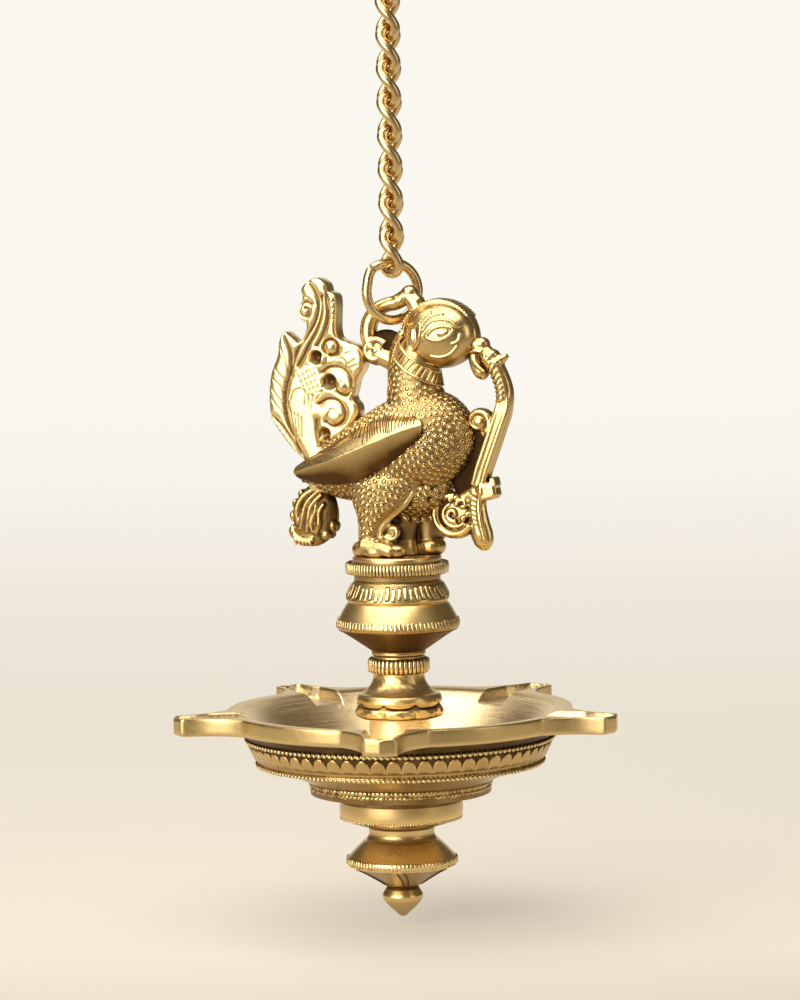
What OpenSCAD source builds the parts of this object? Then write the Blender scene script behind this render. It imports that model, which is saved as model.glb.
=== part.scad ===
// Hanging chain oil lamp in cast brass. A chain hangs from a flat eye and carries a jump ring. The ring
// passes under a loop behind a bird's head. The bird stands on a turned pedestal, and a bowl with wick
// spouts and a drop finial are held below it on one rod. Millimetres, Z up, the bird faces +X, and the
// origin is the centre of the eye's bore.

/* [Hanging eye] */
// Bore that goes over the ceiling hook
eye_bore = 12; // [8:0.5:20]
// Width of the metal round the bore
eye_rim = 3.6; // [3:0.2:6]
// Thickness of the eye along its bore
eye_thick = 4; // [3:0.2:6]
// Wire diameter of the small loop under the eye
eye_wire = 3; // [2.4:0.1:3.6]

/* [Chain] */
// Number of links
link_count = 9; // [3:1:14]
// Wire diameter of a link
link_wire = 3; // [2.4:0.1:3.6]
// Spacing of the links along the hanging chain
link_pitch = 10; // [9:0.1:13]
// How far the links' bows stand off square to the jump ring
link_skew = 16; // [0:1:20]

/* [Hanging ring] */
// Wire diameter of the jump ring
ring_wire = 3; // [2.4:0.1:3.2]
// Clear diameter inside the jump ring
ring_inside = 14.2; // [13:0.2:20]
// Turn of the ring's plane from the bird's heading
ring_turn = 50; // [42:1:60]
// Angle left open at the ring's butt joint
ring_joint = 4; // [1:0.5:8]

/* [Bird] */
// Length of the head from nape to beak
head_long = 23.4; // [18:0.2:26]
// Width of the head across the eyes
head_wide = 18; // [14:0.5:20]
// Height of the head
head_high = 20; // [18:0.5:22]
// Thickness of the loop that the ring passes under
loop_bar = 4.5; // [3.6:0.1:5]
// Thickness of the loop's plate across the bird
loop_thick = 5; // [4:0.2:5.6]
// Thickness of the tail plume
tail_thick = 7.5; // [5:0.5:9]
// Thickness of the vine that hangs from the beak
vine_thick = 5; // [3.5:0.25:6.5]
// Width of the vine's stem
vine_wide = 5; // [3.5:0.25:6]
// Rounding radius along the wing's edges
wing_edge = 0.9; // [0.5:0.1:1.4]

/* [Plinth] */
// Radius of the slab under the feet
plinth_r = 13.4; // [13:0.1:15]
// Height of the slab
plinth_slab_h = 1.8; // [1.4:0.1:3]
// Radius of the ridged ring
plinth_bead_r = 15.5; // [15.2:0.1:18]
// Height of the ridged ring
plinth_bead_h = 3.7; // [3:0.1:6]
// Radius of the cove below the ring
plinth_neck_r = 13; // [11:0.1:13.4]
// Height of the cove
plinth_neck_h = 1.8; // [1:0.1:3]

/* [Skirt collar] */
// Radius of the skirt's lower edge
skirt_r = 15.7; // [15:0.1:18]
// Height of the skirt
skirt_h = 6.4; // [4:0.1:9]

/* [Baluster] */
// Radius of the bulb's shoulder under the skirt
bulb_top_r = 15.4; // [13:0.1:15.6]
// Largest radius of the bulb
bulb_r = 18.4; // [17:0.1:22]
// Height of the bulb's upper side
bulb_h = 6.3; // [4:0.1:9]
// Height of the ridged edge round the bulb
bulb_edge_h = 2.4; // [1.5:0.1:4]
// Height of the cone below the edge
cone_h = 8.4; // [6:0.1:12]
// Radius of the neck
neck_r = 7.7; // [6.5:0.1:9]
// Radius of the bead on the neck
bead_r = 9.2; // [9.1:0.1:12]
// Height of the bead
bead_h = 4.7; // [3:0.1:7]
// Height of the column that flares to the foot
column_h = 6; // [4:0.1:9]
// Radius of the foot's upper roll
foot_r = 12.8; // [11:0.1:14]
// Height of the upper roll
foot_h = 3.9; // [3:0.1:6]
// Radius of the foot's lower lip
lip_r = 13.1; // [11:0.1:15]
// Height of the lower lip
lip_h = 3.4; // [2:0.1:4.5]

/* [Bowl] */
// Outside radius of the rim
rim_r = 52; // [50:0.5:60]
// Height of the plain band of the rim
rim_h = 5.2; // [4.5:0.1:8]
// Height of the rim above the top of the centre boss
rim_over_boss = 2.8; // [0:0.1:5]
// Depth from the rim to the floor
bowl_depth = 15; // [14.4:0.2:16]
// Wall thickness at the rim
rim_wall = 2.2; // [1.6:0.1:3]
// Radius of the ornamented side band at its top
band_top_r = 45.7; // [44.5:0.1:49]
// Radius of the ornamented side band at its bottom
band_r = 43; // [42:0.1:44.4]
// Height of the slope between rim and band
slope_h = 4.2; // [3.5:0.1:6]
// Height of the ornamented side band
band_h = 7.5; // [6.5:0.1:10]
// Radius of the step under the bowl
step_r = 27.5; // [22:0.5:30]
// Height of the step under the bowl
step_h = 3.9; // [2.5:0.1:6]
// Radius of the centre boss
boss_r = 9.2; // [8:0.1:12]

/* [Spouts] */
// Number of wick spouts
spout_count = 5; // [3:1:5]
// Radius from the axis to the spout's end
spout_reach = 69; // [67:0.5:76]
// Width of the spout at its end
spout_tip = 10; // [9:0.5:12]
// Width of the spout where it leaves the rim
spout_root = 29; // [24:0.5:34]
// Width of the wick channel where it opens into the bowl
channel_root = 11; // [9:0.5:14]
// Wall thickness of the spout
spout_wall = 1.8; // [1.4:0.1:2.2]
// Floor thickness of the spout
spout_floor = 1.7; // [1.4:0.1:2.4]

/* [Drop finial] */
// Radius of the drum under the bowl
drum_r = 18.6; // [16:0.1:21]
// Height of the drum
drum_h = 5.8; // [4:0.1:9]
// Radius of the neck below the drum
drop_neck_r = 9.8; // [8:0.1:12]
// Height of the neck
drop_neck_h = 3.6; // [2:0.1:6]
// Radius of the drop's ridged edge
drop_r = 16.9; // [14:0.1:19]
// Height of the drop's upper side
drop_h = 5.8; // [4:0.1:8]
// Height of the drop's ridged edge
drop_edge_h = 2.7; // [2:0.1:4]
// Height of the cone below the edge
drop_cone_h = 6.4; // [5:0.1:9]
// Radius of the bud at the tip
bud_r = 6.2; // [5.4:0.1:8]
// Height of the bud and its point
bud_h = 9.2; // [7:0.1:14]

/* [Rod and fits] */
// Diameter of the rod through the pedestal and bowl
rod_d = 8; // [6:0.5:9]
// Radial clearance round the rod
rod_fit = 0.06; // [0.02:0.01:0.1]
// Gap between chain wires that bear on each other
seat_gap = 0.3; // [0.2:0.05:0.5]
// Side play of a wire inside a link
link_play = 0.8; // [0.6:0.1:1.6]
// Gap above and below the bowl where it turns
turn_gap = 0.1; // [0.05:0.05:0.3]
// Solder gap round the pieces let into the bird
braze_gap = 0.05; // [0.02:0.01:0.1]

/* [Hidden] */
$fn = 64;
brass = [0.80, 0.60, 0.28];
gold = [0.86, 0.68, 0.34];

// Chain and ring. A link's bows lie at right angles, so every wire crosses its neighbour squarely.
link_turn = ring_turn + link_skew;
wire_max = max(link_wire, ring_wire, eye_wire);
link_w = (wire_max + link_play + link_wire) / 2;
link_half = (link_pitch + link_wire + seat_gap) / 2;
loop_r = (link_wire + link_play + eye_wire) / 2 + 1;
eye_loop_z = -(eye_bore / 2 + eye_rim + loop_r - eye_wire / 2 + 0.6);
eye_low_z = eye_loop_z - loop_r;
link_1_z = eye_low_z + (eye_wire + link_wire) / 2 + seat_gap - link_half;
link_low_z = link_1_z - (link_count - 1) * link_pitch - link_half;
ring_r = (ring_inside + ring_wire) / 2;
ring_z = link_low_z + (link_wire + ring_wire) / 2 + seat_gap - ring_r;
seat_z = ring_z - ring_r;

// Bird, measured from the plinth's top face. The ring's lowest wire crosses at ring_seat.
ring_seat = 70.4;
lamp_z = seat_z - ring_seat;
ring_pass = loop_thick / 2 / tan(ring_turn) + ring_wire / 2 / sin(ring_turn);
head_x = ring_pass + head_long / 2;
head_z = 66;
ring_rise = ring_r - sqrt(pow(ring_r, 2) - pow(loop_thick / 2 / sin(ring_turn), 2));
loop_z = ring_seat + ring_rise + ring_wire / 2 + seat_gap + loop_bar / 2;

// Each row is x, centre height, half height and half width of the body, from rump to chest.
body_rows = [
    [-30, 24.6, 2.4, 3], [-25, 25.2, 5.5, 6], [-18, 26.6, 9.5, 9.5], [-9, 29, 13, 12],
    [0, 31.4, 15.5, 13.2], [8, 33.4, 15.6, 13.6], [15, 35, 13.6, 12.2], [20, 36, 9.6, 8.6],
    [23, 36.4, 4.6, 4.4], [24, 36.4, 1.6, 1.6]
];
// Each row is x, height, half length and half width of the neck, from the shoulders to the head.
neck_rows = [
    [9, 36.4, 10.6, 10.4], [7.6, 43, 9.4, 9], [5.8, 49.6, 7.4, 7.2], [5.6, 55.4, 6.5, 6.4],
    [7.6, 61, 6.6, 6.3], [10.5, 66, 6.2, 6]
];
wing_top = [[12, -10.5, 43], [0, -10, 42.6], [-11, -10, 37.4], [-23, -9.5, 30.6]];
wing_ridge = [[16.4, -15, 40], [8, -17.4, 38], [-4, -17.8, 33.8], [-17, -16, 29.4], [-28, -12, 25.4]];
wing_low = [[13, -12, 35.8], [3, -13, 29.8], [-10, -12, 25.4], [-22, -10, 23.4]];
wing_root = [[9, -7, 38.4], [-23, -5, 26.4]];
// Outline of the tail plume as x and height, from its lower curl up the outer side and over the top.
tail_edge = [
    [-18.6, 22], [-18.8, 16.2], [-18.8, 10.8], [-21.4, 5.2], [-26, 2.2], [-30.6, 1.7], [-33.4, 4],
    [-33.8, 9.4], [-31.8, 15.4], [-28.8, 20.8], [-27.4, 25], [-29.3, 28.8], [-32.6, 31.8], [-36.2, 36],
    [-39.4, 41], [-40, 46.4], [-39.8, 51.2], [-39, 55.2], [-37, 60], [-36.4, 64.4], [-34.8, 67.2],
    [-32.6, 66], [-29.8, 64], [-27.6, 67], [-27.4, 69.8], [-29.4, 71.2], [-30, 74], [-28.4, 77],
    [-28.8, 80], [-26.8, 82.2], [-23.6, 83.4], [-20.8, 81.8], [-19.8, 79.4], [-18, 78.6], [-17.2, 76],
    [-17.2, 66.4], [-13.8, 63.6], [-11.4, 62.4], [-10, 60.4], [-10, 56.2], [-11, 51], [-12.2, 46.8],
    [-11.4, 43.2], [-12.6, 39.2], [-15.6, 35.8], [-18.8, 33], [-18.4, 28]
];
// Middle line of the vine as x and height, from the beak down to the leaf.
vine_line = [
    [24, 64.4], [27, 63], [29.6, 60.8], [32, 58], [34.4, 53.6], [35.8, 49], [35.6, 44], [33.6, 38],
    [31, 31.6], [28.6, 25.8], [27, 21]
];
leaf_line = [[27, 21, 2.6], [25.8, 16, 3.4], [26.8, 9.4, 2.8], [28.2, 2.6, 1]];
loop_line = [
    [-7.8, 63], [-8.4, 67], [-7.4, 71.8], [-4.4, loop_z + 0.3], [0, loop_z],
    [3.2, loop_z + 2.4], [4.8, loop_z + 4.8]
];

// Pedestal, bowl and finial heights, all from the plinth's top face.
skirt_z = -(plinth_slab_h + plinth_bead_h + plinth_neck_h);
bulb_z = skirt_z - skirt_h;
edge_z = bulb_z - bulb_h;
cone_z = edge_z - bulb_edge_h;
bead_z = cone_z - cone_h;
column_z = bead_z - bead_h;
foot_z = column_z - column_h;
lip_z = foot_z - foot_h;
baluster_low_z = lip_z - lip_h;
boss_z = baluster_low_z - turn_gap;
rim_z = boss_z + rim_over_boss;
floor_z = rim_z - bowl_depth;
band_z = rim_z - rim_h - slope_h;
band_low_z = band_z - band_h;
step_z = band_low_z - 4.8;
bowl_low_z = step_z - step_h;
drum_z = bowl_low_z - turn_gap;
shoulder_z = drum_z - 2 - drum_h;
drop_neck_z = shoulder_z - 2.4;
drop_z = drop_neck_z - drop_neck_h;
drop_edge_z = drop_z - drop_h;
drop_cone_z = drop_edge_z - drop_edge_h;
bud_z = drop_cone_z - drop_cone_h;
rod_top_z = skirt_z + 5;
rod_low_z = drop_edge_z;
bore_r = rod_d / 2 + rod_fit;

// A curve through the points of a list, with n steps between neighbours.
function between(a, b, c, d, t) =
    0.5 * (2 * b + (c - a) * t + (2 * a - 5 * b + 4 * c - d) * t * t + (3 * b - a - 3 * c + d) * t * t * t);
function smooth(p, n) = concat(
    [for (i = [0:len(p) - 2], k = [0:n - 1])
        between(p[max(i - 1, 0)], p[i], p[i + 1], p[min(i + 2, len(p) - 1)], k / n)],
    [p[len(p) - 1]]
);
function unit(v) = v / norm(v);
// Profile stretches: a rounded roll that stands out, and a flare from one radius to another.
function roll(r0, r1, z0, z1, out) =
    [for (i = [0:8]) [r0 + (r1 - r0) * i / 8 + out * sqrt(sin(22.5 * i)), z0 + (z1 - z0) * i / 8]];
function flare(r0, r1, z0, z1, p) =
    [for (i = [0:8]) [r0 + (r1 - r0) * pow(i / 8, p), z0 + (z1 - z0) * i / 8]];

// A closed solid through rings of points, with flat ends or joined round to its start.
module loft(rings, closed = false) {
    m = len(rings[0]);
    k = len(rings);
    last = closed ? k - 1 : k - 2;
    sides = [for (i = [0:last], j = [0:m - 1])
        let (a = i * m, b = ((i + 1) % k) * m, q = (j + 1) % m)
        each [[a + j, b + j, b + q], [a + j, b + q, a + q]]];
    ends = closed ? [] : [[for (j = [0:m - 1]) j], [for (j = [m - 1:-1:0]) (k - 1) * m + j]];
    polyhedron(points = [for (g = rings, p = g) p], faces = concat(sides, ends), convexity = 6);
}

// A solid of revolution between an outline and the bore.
module turned(outline, bore) {
    first = outline[0][1];
    final = outline[len(outline) - 1][1];
    rotate_extrude() polygon(concat([[bore, first]], outline, [[bore, final]]));
}

// A plate standing in the bird's middle plane, drawn as x and height.
module plate(thick) {
    rotate([90, 0, 0]) linear_extrude(height = thick, center = true, convexity = 8) children();
}

// A strip of even or changing width along a line of points.
module strip(p, wide) {
    for (i = [0:len(p) - 2]) {
        hull() {
            translate([p[i][0], p[i][1]]) circle(r = wide == 0 ? p[i][2] : wide / 2, $fn = 24);
            translate([p[i + 1][0], p[i + 1][1]]) circle(r = wide == 0 ? p[i + 1][2] : wide / 2, $fn = 24);
        }
    }
}

// Flat eye with the bore for the ceiling hook and a small wire loop for the chain.
module hanging_eye() {
    color(gold) rotate([0, 0, link_turn - 90]) rotate([90, 0, 0]) difference() {
        union() {
            cylinder(r = eye_bore / 2 + eye_rim, h = eye_thick, center = true);
            translate([0, eye_loop_z, 0]) rotate_extrude()
                translate([loop_r, 0]) circle(d = eye_wire);
        }
        cylinder(d = eye_bore, h = eye_thick + 2, center = true);
    }
}

// Curb link: a long wire loop whose two bows are turned a quarter against each other.
link_flat = link_half - link_w;
link_soft = link_flat + 0.55 * link_w;
function link_plane(z) =
    link_turn + 45 - 45 * cos(180 * max(0, min(1, (link_soft - z) / (2 * link_soft))));
function link_reach(u) =
    u < 0.3 ? link_w * cos(600 * u) : u < 0.5 ? -link_w : u < 0.8 ? -link_w * cos(600 * (u - 0.5)) : link_w;
function link_height(u) =
    u < 0.3 ? link_flat + link_w * sin(600 * u)
    : u < 0.5 ? link_flat - 10 * link_flat * (u - 0.3)
    : u < 0.8 ? -link_flat - link_w * sin(600 * (u - 0.5))
    : 10 * link_flat * (u - 0.8) - link_flat;
function link_point(t) =
    let (u = t - floor(t), z = link_height(u), a = link_plane(z))
    [link_reach(u) * cos(a), link_reach(u) * sin(a), z];
module chain_link(i) {
    steps = 40;
    sides = 12;
    rings = [for (k = [0:steps - 1])
        let (
            p = link_point(k / steps),
            along = unit(link_point((k + 0.4) / steps) - link_point((k - 0.4) / steps)),
            a = link_plane(p[2]),
            flat = [-sin(a), cos(a), 0],
            across = unit(flat - (flat * along) * along),
            out = cross(across, along)
        )
        [for (j = [0:sides - 1]) p + link_wire / 2 * (cos(30 * j) * out + sin(30 * j) * across)]];
    color(brass) translate([0, 0, link_1_z - (i - 1) * link_pitch]) loft(rings, true);
}

// Jump ring bent from round wire, with its butt joint at the upper left.
module hanging_ring() {
    color(gold) translate([0, 0, ring_z]) rotate([0, 0, ring_turn]) rotate([90, 0, 0])
        rotate([0, 0, 135 + ring_joint / 2]) rotate_extrude(angle = 360 - ring_joint)
            translate([ring_r, 0]) circle(d = ring_wire);
}

// Outline and solid of the wing on the bird's right, grown by the solder gap where the body is cut for it.
module wing(grow = 0) {
    hull() for (p = concat(wing_top, wing_ridge, wing_low, wing_root))
        translate(p) sphere(r = wing_edge + grow, $fn = 10);
}

module right_wing() {
    color(gold) translate([0, 0, lamp_z]) wing();
}

module left_wing() {
    color(gold) translate([0, 0, lamp_z]) mirror([0, 1, 0]) wing();
}

// Plume plate with a scrolled edge and a thick curl below the wing tips.
module tail_shape() {
    polygon(smooth(tail_edge, 3));
}

module tail_plume() {
    color(gold) translate([0, 0, lamp_z]) plate(tail_thick) tail_shape();
}

// Vine from the beak with its knobs, chest scroll, lower scroll and long leaf.
module vine_shape() {
    strip(smooth(vine_line, 2), vine_wide);
    strip(leaf_line, 0);
    translate([32.6, 58.4]) rotate(-35) square([5, 5.4], center = true);
    translate([29.4, 19.4]) rotate(10) square([6, 5.4], center = true);
    strip([[27, 60.4, 1.8], [27.2, 56, 2], [27.6, 52.6, 0.9]], 0);
    translate([26.8, 40.4]) circle(r = 4.2);
    strip([[26.8, 40.4], [33.4, 39.4]], 4);
    difference() {
        translate([18.8, 13.2]) circle(r = 6.6);
        translate([20, 12.4]) circle(r = 2);
    }
    strip([[23, 16.6], [27, 20]], 4.6);
    strip([[15.6, 16.4], [14.2, 22.4]], 4.6);
}

module beak_vine() {
    color(gold) translate([0, 0, lamp_z]) plate(vine_thick) vine_shape();
}

// Loop behind the head: a scroll on the nape, a bar over the ring and a knob on the crest.
module loop_shape() {
    translate([-6.8, 62]) circle(r = 4.8);
    strip([[-5, 60.4], [1.4, 57.4]], 5.4);
    strip(smooth(loop_line, 2), loop_bar);
    strip([[4.8, loop_z + 4.8, 3], [7.8, loop_z + 0.4, 3], [9.8, loop_z - 4.4, 2.6]], 0);
}

module crest_loop() {
    color(gold) translate([0, 0, lamp_z]) plate(loop_thick) difference() {
        loop_shape();
        offset(delta = braze_gap) tail_shape();
    }
}

// One leg with its clawed foot. The ankle stands at x, y, and the thigh spreads from back to front above it.
module leg(x, y, back, front, toe) {
    side = sign(y);
    hull() {
        translate([back, y - side, 23]) sphere(r = 5.6, $fn = 20);
        translate([front, y - side, 22]) sphere(r = 5, $fn = 20);
        translate([x - 0.6, y, 11]) sphere(r = 3.2, $fn = 20);
    }
    hull() {
        translate([x - 0.6, y, 11]) sphere(r = 3.2, $fn = 20);
        translate([x, y, 2.6]) sphere(r = 2.4, $fn = 20);
    }
    for (spread = [-1, 0, 1]) hull() {
        translate([x, y, 2.2]) sphere(r = 2.4, $fn = 16);
        translate([x + toe * (1 - 0.3 * abs(spread)), y + 3.2 * spread, 0.9]) sphere(r = 1.2, $fn = 16);
    }
    hull() {
        translate([x, y, 2.2]) sphere(r = 2.2, $fn = 16);
        translate([x - 4.2, y, 0.8]) sphere(r = 1, $fn = 16);
    }
}

// Body, neck, head and legs in one casting, cut for the pieces that are let into it.
module bird_body() {
    body = smooth(body_rows, 3);
    neck = smooth(neck_rows, 3);
    color(brass) translate([0, 0, lamp_z]) difference() {
        union() {
            loft([for (s = body) [for (j = [0:23]) [s[0], s[3] * cos(15 * j), s[1] + s[2] * sin(15 * j)]]]);
            loft([for (s = neck) [for (j = [0:23]) [s[0] + s[2] * cos(15 * j), s[3] * sin(15 * j), s[1]]]]);
            loft([for (k = [0:16]) let (a = 4 + 172 * k / 16) [for (j = [0:23]) [
                head_x - head_long / 2 * cos(a),
                head_wide / 2 * sin(a) * cos(15 * j),
                head_z + head_high / 2 * sin(a) * sin(15 * j)
            ]]]);
            leg(-6, -7.4, -8, 3.6, 11);
            leg(6.6, 6.2, 0, 8, 5.4);
        }
        wing(braze_gap);
        mirror([0, 1, 0]) wing(braze_gap);
        plate(tail_thick + 2 * braze_gap) offset(delta = braze_gap) tail_shape();
        plate(vine_thick + 2 * braze_gap) offset(delta = braze_gap) vine_shape();
        plate(loop_thick + 2 * braze_gap) offset(delta = braze_gap) loop_shape();
        translate([0, 0, -10]) cube([100, 60, 20], center = true);
    }
}

// Slab under the feet with the ridged ring below it, bored from below for the rod.
module plinth() {
    color(gold) translate([0, 0, lamp_z]) difference() {
        turned(concat(
            [[plinth_r - 0.5, 0], [plinth_r, -0.5], [plinth_r, -plinth_slab_h]],
            roll(plinth_r, plinth_neck_r, -plinth_slab_h, skirt_z + plinth_neck_h, plinth_bead_r - plinth_r),
            [[plinth_neck_r, skirt_z]]
        ), 0);
        translate([0, 0, skirt_z - 1]) cylinder(r = bore_r, h = 6.1);
    }
}

// Flared collar with a ridged skirt.
module skirt_collar() {
    color(brass) translate([0, 0, lamp_z]) turned(concat(
        flare(plinth_neck_r, skirt_r, skirt_z, bulb_z + skirt_h * 0.35, 0.7),
        [[skirt_r, bulb_z + 0.4], [skirt_r - 0.4, bulb_z]]
    ), bore_r);
}

// Bulb with a ridged edge, a beaded neck and a foot that stands in the bowl.
module baluster() {
    color(gold) translate([0, 0, lamp_z]) turned(concat(
        flare(bulb_top_r, bulb_r, bulb_z, edge_z, 0.8),
        [[bulb_r + 0.2, edge_z - bulb_edge_h / 2], [bulb_r - 0.4, cone_z]],
        flare(bulb_r - 0.8, neck_r, cone_z - 0.1, bead_z, 0.9),
        roll(neck_r + 0.1, neck_r + 0.1, bead_z - 0.05, column_z, bead_r - neck_r - 0.1),
        flare(neck_r, foot_r - 1.4, column_z - 0.05, foot_z, 2.6),
        roll(foot_r - 1, foot_r - 0.7, foot_z - 0.05, lip_z, 0.9),
        roll(lip_r - 0.8, lip_r - 1, lip_z - 0.05, baluster_low_z, 0.9)
    ), bore_r);
}

// Half width of a spout at a distance from the axis, flaring from its end to its root. The wick channel in it
// is narrower by the wall, keeps its width at the root and is cut through the dish, so that oil runs in.
function spout_half(r, trim) =
    spout_tip / 2 - trim
    + (spout_root - spout_tip) / 2 * pow(max(0, (spout_reach - r) / (spout_reach - rim_r + 3)), 2.6);
module spout_plan(from, to, trim, widest) {
    line = [for (i = [0:12]) let (r = from + (to - from) * i / 12) [r, min(spout_half(r, trim), widest / 2)]];
    polygon(concat(line, [for (i = [12:-1:0]) [line[i][0], -line[i][1]]]));
}

// Dish with its rim band, ornamented side band, step and centre boss, and the wick spouts.
module bowl() {
    inner = rim_r - rim_wall;
    wall_r = band_r - 2.2;
    dish = [for (i = [0:14]) let (t = i / 14)
        [inner - (inner - wall_r * 0.72) * pow(t, 0.62), rim_z - bowl_depth * pow(sin(90 * t), 1.15)]];
    color(brass) translate([0, 0, lamp_z]) difference() {
        union() {
            rotate_extrude() polygon(concat(
                [[bore_r, boss_z], [boss_r - 0.5, boss_z], [boss_r, boss_z - 0.5]],
                [[boss_r, floor_z]],
                [for (i = [14:-1:0]) dish[i]],
                [[rim_r, rim_z], [rim_r, rim_z - rim_h]],
                flare(rim_r - 0.4, band_top_r, rim_z - rim_h - 0.05, band_z, 0.8),
                flare(band_top_r, band_r, band_z - 0.05, band_low_z, 1.4),
                flare(band_r - 0.4, step_r + 0.6, band_low_z - 0.05, step_z, 0.6),
                [[step_r, step_z - 0.6], [step_r, bowl_low_z], [bore_r, bowl_low_z]]
            ));
            for (k = [0:spout_count - 1]) rotate([0, 0, 360 / spout_count * k])
                translate([0, 0, rim_z - rim_h]) linear_extrude(height = rim_h)
                    spout_plan(rim_r - 1.5, spout_reach, 0, spout_root);
        }
        for (k = [0:spout_count - 1]) rotate([0, 0, 360 / spout_count * k]) {
            translate([0, 0, rim_z - rim_h + spout_floor]) linear_extrude(height = rim_h)
                spout_plan(rim_r - 10, spout_reach - spout_wall, spout_wall, channel_root);
            translate([spout_reach, 0, rim_z]) rotate([0, -90, 0])
                cylinder(r = rim_h - spout_floor - 1, h = 3 * spout_wall, center = true);
        }
    }
}

// Drum, neck, ridged drop and pointed bud, bored from above for the rod.
module drop_finial() {
    color(gold) translate([0, 0, lamp_z]) difference() {
        turned(concat(
            [[drum_r - 1.2, drum_z], [drum_r - 1.2, drum_z - 2], [drum_r, drum_z - 2.4]],
            [[drum_r, shoulder_z]],
            flare(drum_r - 0.3, drop_neck_r, shoulder_z - 0.3, drop_neck_z, 1.6),
            [[drop_neck_r, drop_z]],
            flare(drop_neck_r + 0.6, drop_r - 0.4, drop_z - 0.05, drop_edge_z, 0.75),
            [[drop_r, drop_edge_z - drop_edge_h / 2], [drop_r - 0.5, drop_cone_z]],
            flare(drop_r - 0.8, bud_r - 1.6, drop_cone_z - 0.05, bud_z, 0.9),
            [for (i = [0:8]) [bud_r - 1.6 + 1.6 * sin(22.5 * i), bud_z - bud_h * 0.48 * i / 8]],
            [[(bud_r - 1.6) * 0.55, bud_z - bud_h * 0.76], [0.4, bud_z - bud_h]]
        ), 0);
        translate([0, 0, rod_low_z - 0.1]) cylinder(r = bore_r, h = drum_z - rod_low_z + 1);
    }
}

// Rod inside the stack, from the plinth down into the drop.
module tie_rod() {
    color(brass) translate([0, 0, lamp_z + rod_low_z]) cylinder(d = rod_d, h = rod_top_z - rod_low_z);
}

hanging_eye();
for (i = [1:link_count]) chain_link(i);
hanging_ring();
bird_body();
crest_loop();
right_wing();
left_wing();
tail_plume();
beak_vine();
plinth();
skirt_collar();
baluster();
bowl();
drop_finial();
tie_rod();
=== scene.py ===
import math

import bmesh
import bpy
import numpy as np
from mathutils import Matrix, Vector
from mathutils.bvhtree import BVHTree
from mathutils.geometry import delaunay_2d_cdt


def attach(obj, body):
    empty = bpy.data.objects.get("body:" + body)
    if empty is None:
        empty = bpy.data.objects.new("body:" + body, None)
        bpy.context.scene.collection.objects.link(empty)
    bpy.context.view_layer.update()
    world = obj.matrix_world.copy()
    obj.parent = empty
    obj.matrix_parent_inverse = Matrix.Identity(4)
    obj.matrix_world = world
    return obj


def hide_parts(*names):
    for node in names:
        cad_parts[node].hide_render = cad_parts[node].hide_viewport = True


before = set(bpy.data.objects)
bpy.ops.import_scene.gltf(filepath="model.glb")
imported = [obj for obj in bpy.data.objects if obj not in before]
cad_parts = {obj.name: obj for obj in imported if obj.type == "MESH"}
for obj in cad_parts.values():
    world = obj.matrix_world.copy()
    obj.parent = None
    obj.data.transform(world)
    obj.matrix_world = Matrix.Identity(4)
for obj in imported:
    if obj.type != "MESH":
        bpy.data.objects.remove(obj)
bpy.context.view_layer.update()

# HANGING EYE
# A flat brass eye that goes over the ceiling hook, with a small wire loop brazed under it for the chain.
# It is cast and filed, so all its edges are soft.
MM = 0.001
LINK_TURN = math.radians(66)
EYE_BORE_R, EYE_OUT_R, EYE_THICK = 6.0, 9.6, 4.0
EYE_LOOP_Z, EYE_LOOP_R, EYE_WIRE_R = -13.1, 4.4, 1.5
# How many patches of brown, grains, swellings and turning marks go on a metre of brass.
CLOUDS, GRAINS, SWELLS, TURNING_MARKS = 95.0, 900.0, 330.0, 1500.0


class Tone:
    """A socket that is added, taken away, multiplied and divided like a number."""

    def __init__(self, tree, out=None):
        self.tree, self.out = tree, out

    def node(self, kind, settings, values, out=0):
        made = self.tree.nodes.new(kind)
        for label, value in settings.items():
            setattr(made, label, value)
        for key, value in (values if isinstance(values, dict) else dict(enumerate(values))).items():
            if isinstance(value, Tone):
                self.tree.links.new(value.out, made.inputs[key])
            else:
                made.inputs[key].default_value = value
        return Tone(self.tree, made.outputs[out])

    def sum(self, how, a, b):
        return self.node("ShaderNodeMath", {"operation": how}, [a, b])

    def __add__(self, other):
        return self.sum("ADD", self, other)

    __radd__ = __add__

    def __sub__(self, other):
        return self.sum("SUBTRACT", self, other)

    def __rsub__(self, other):
        return self.sum("SUBTRACT", other, self)

    def __mul__(self, other):
        return self.sum("MULTIPLY", self, other)

    __rmul__ = __mul__

    def __truediv__(self, other):
        return self.sum("DIVIDE", self, other)

    def __pow__(self, other):
        return self.sum("POWER", self, other)

    def held(self, low=0.0, high=1.0):
        return self.node("ShaderNodeClamp", {}, {0: self, 1: low, 2: high})

    def mix(self, a, b):
        return self.node("ShaderNodeMix", {"data_type": "RGBA"}, {0: self, 6: a, 7: b}, 2)

    def parts(self):
        split = self.tree.nodes.new("ShaderNodeSeparateXYZ")
        self.tree.links.new(self.out, split.inputs[0])
        return [Tone(self.tree, part) for part in split.outputs]


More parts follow.
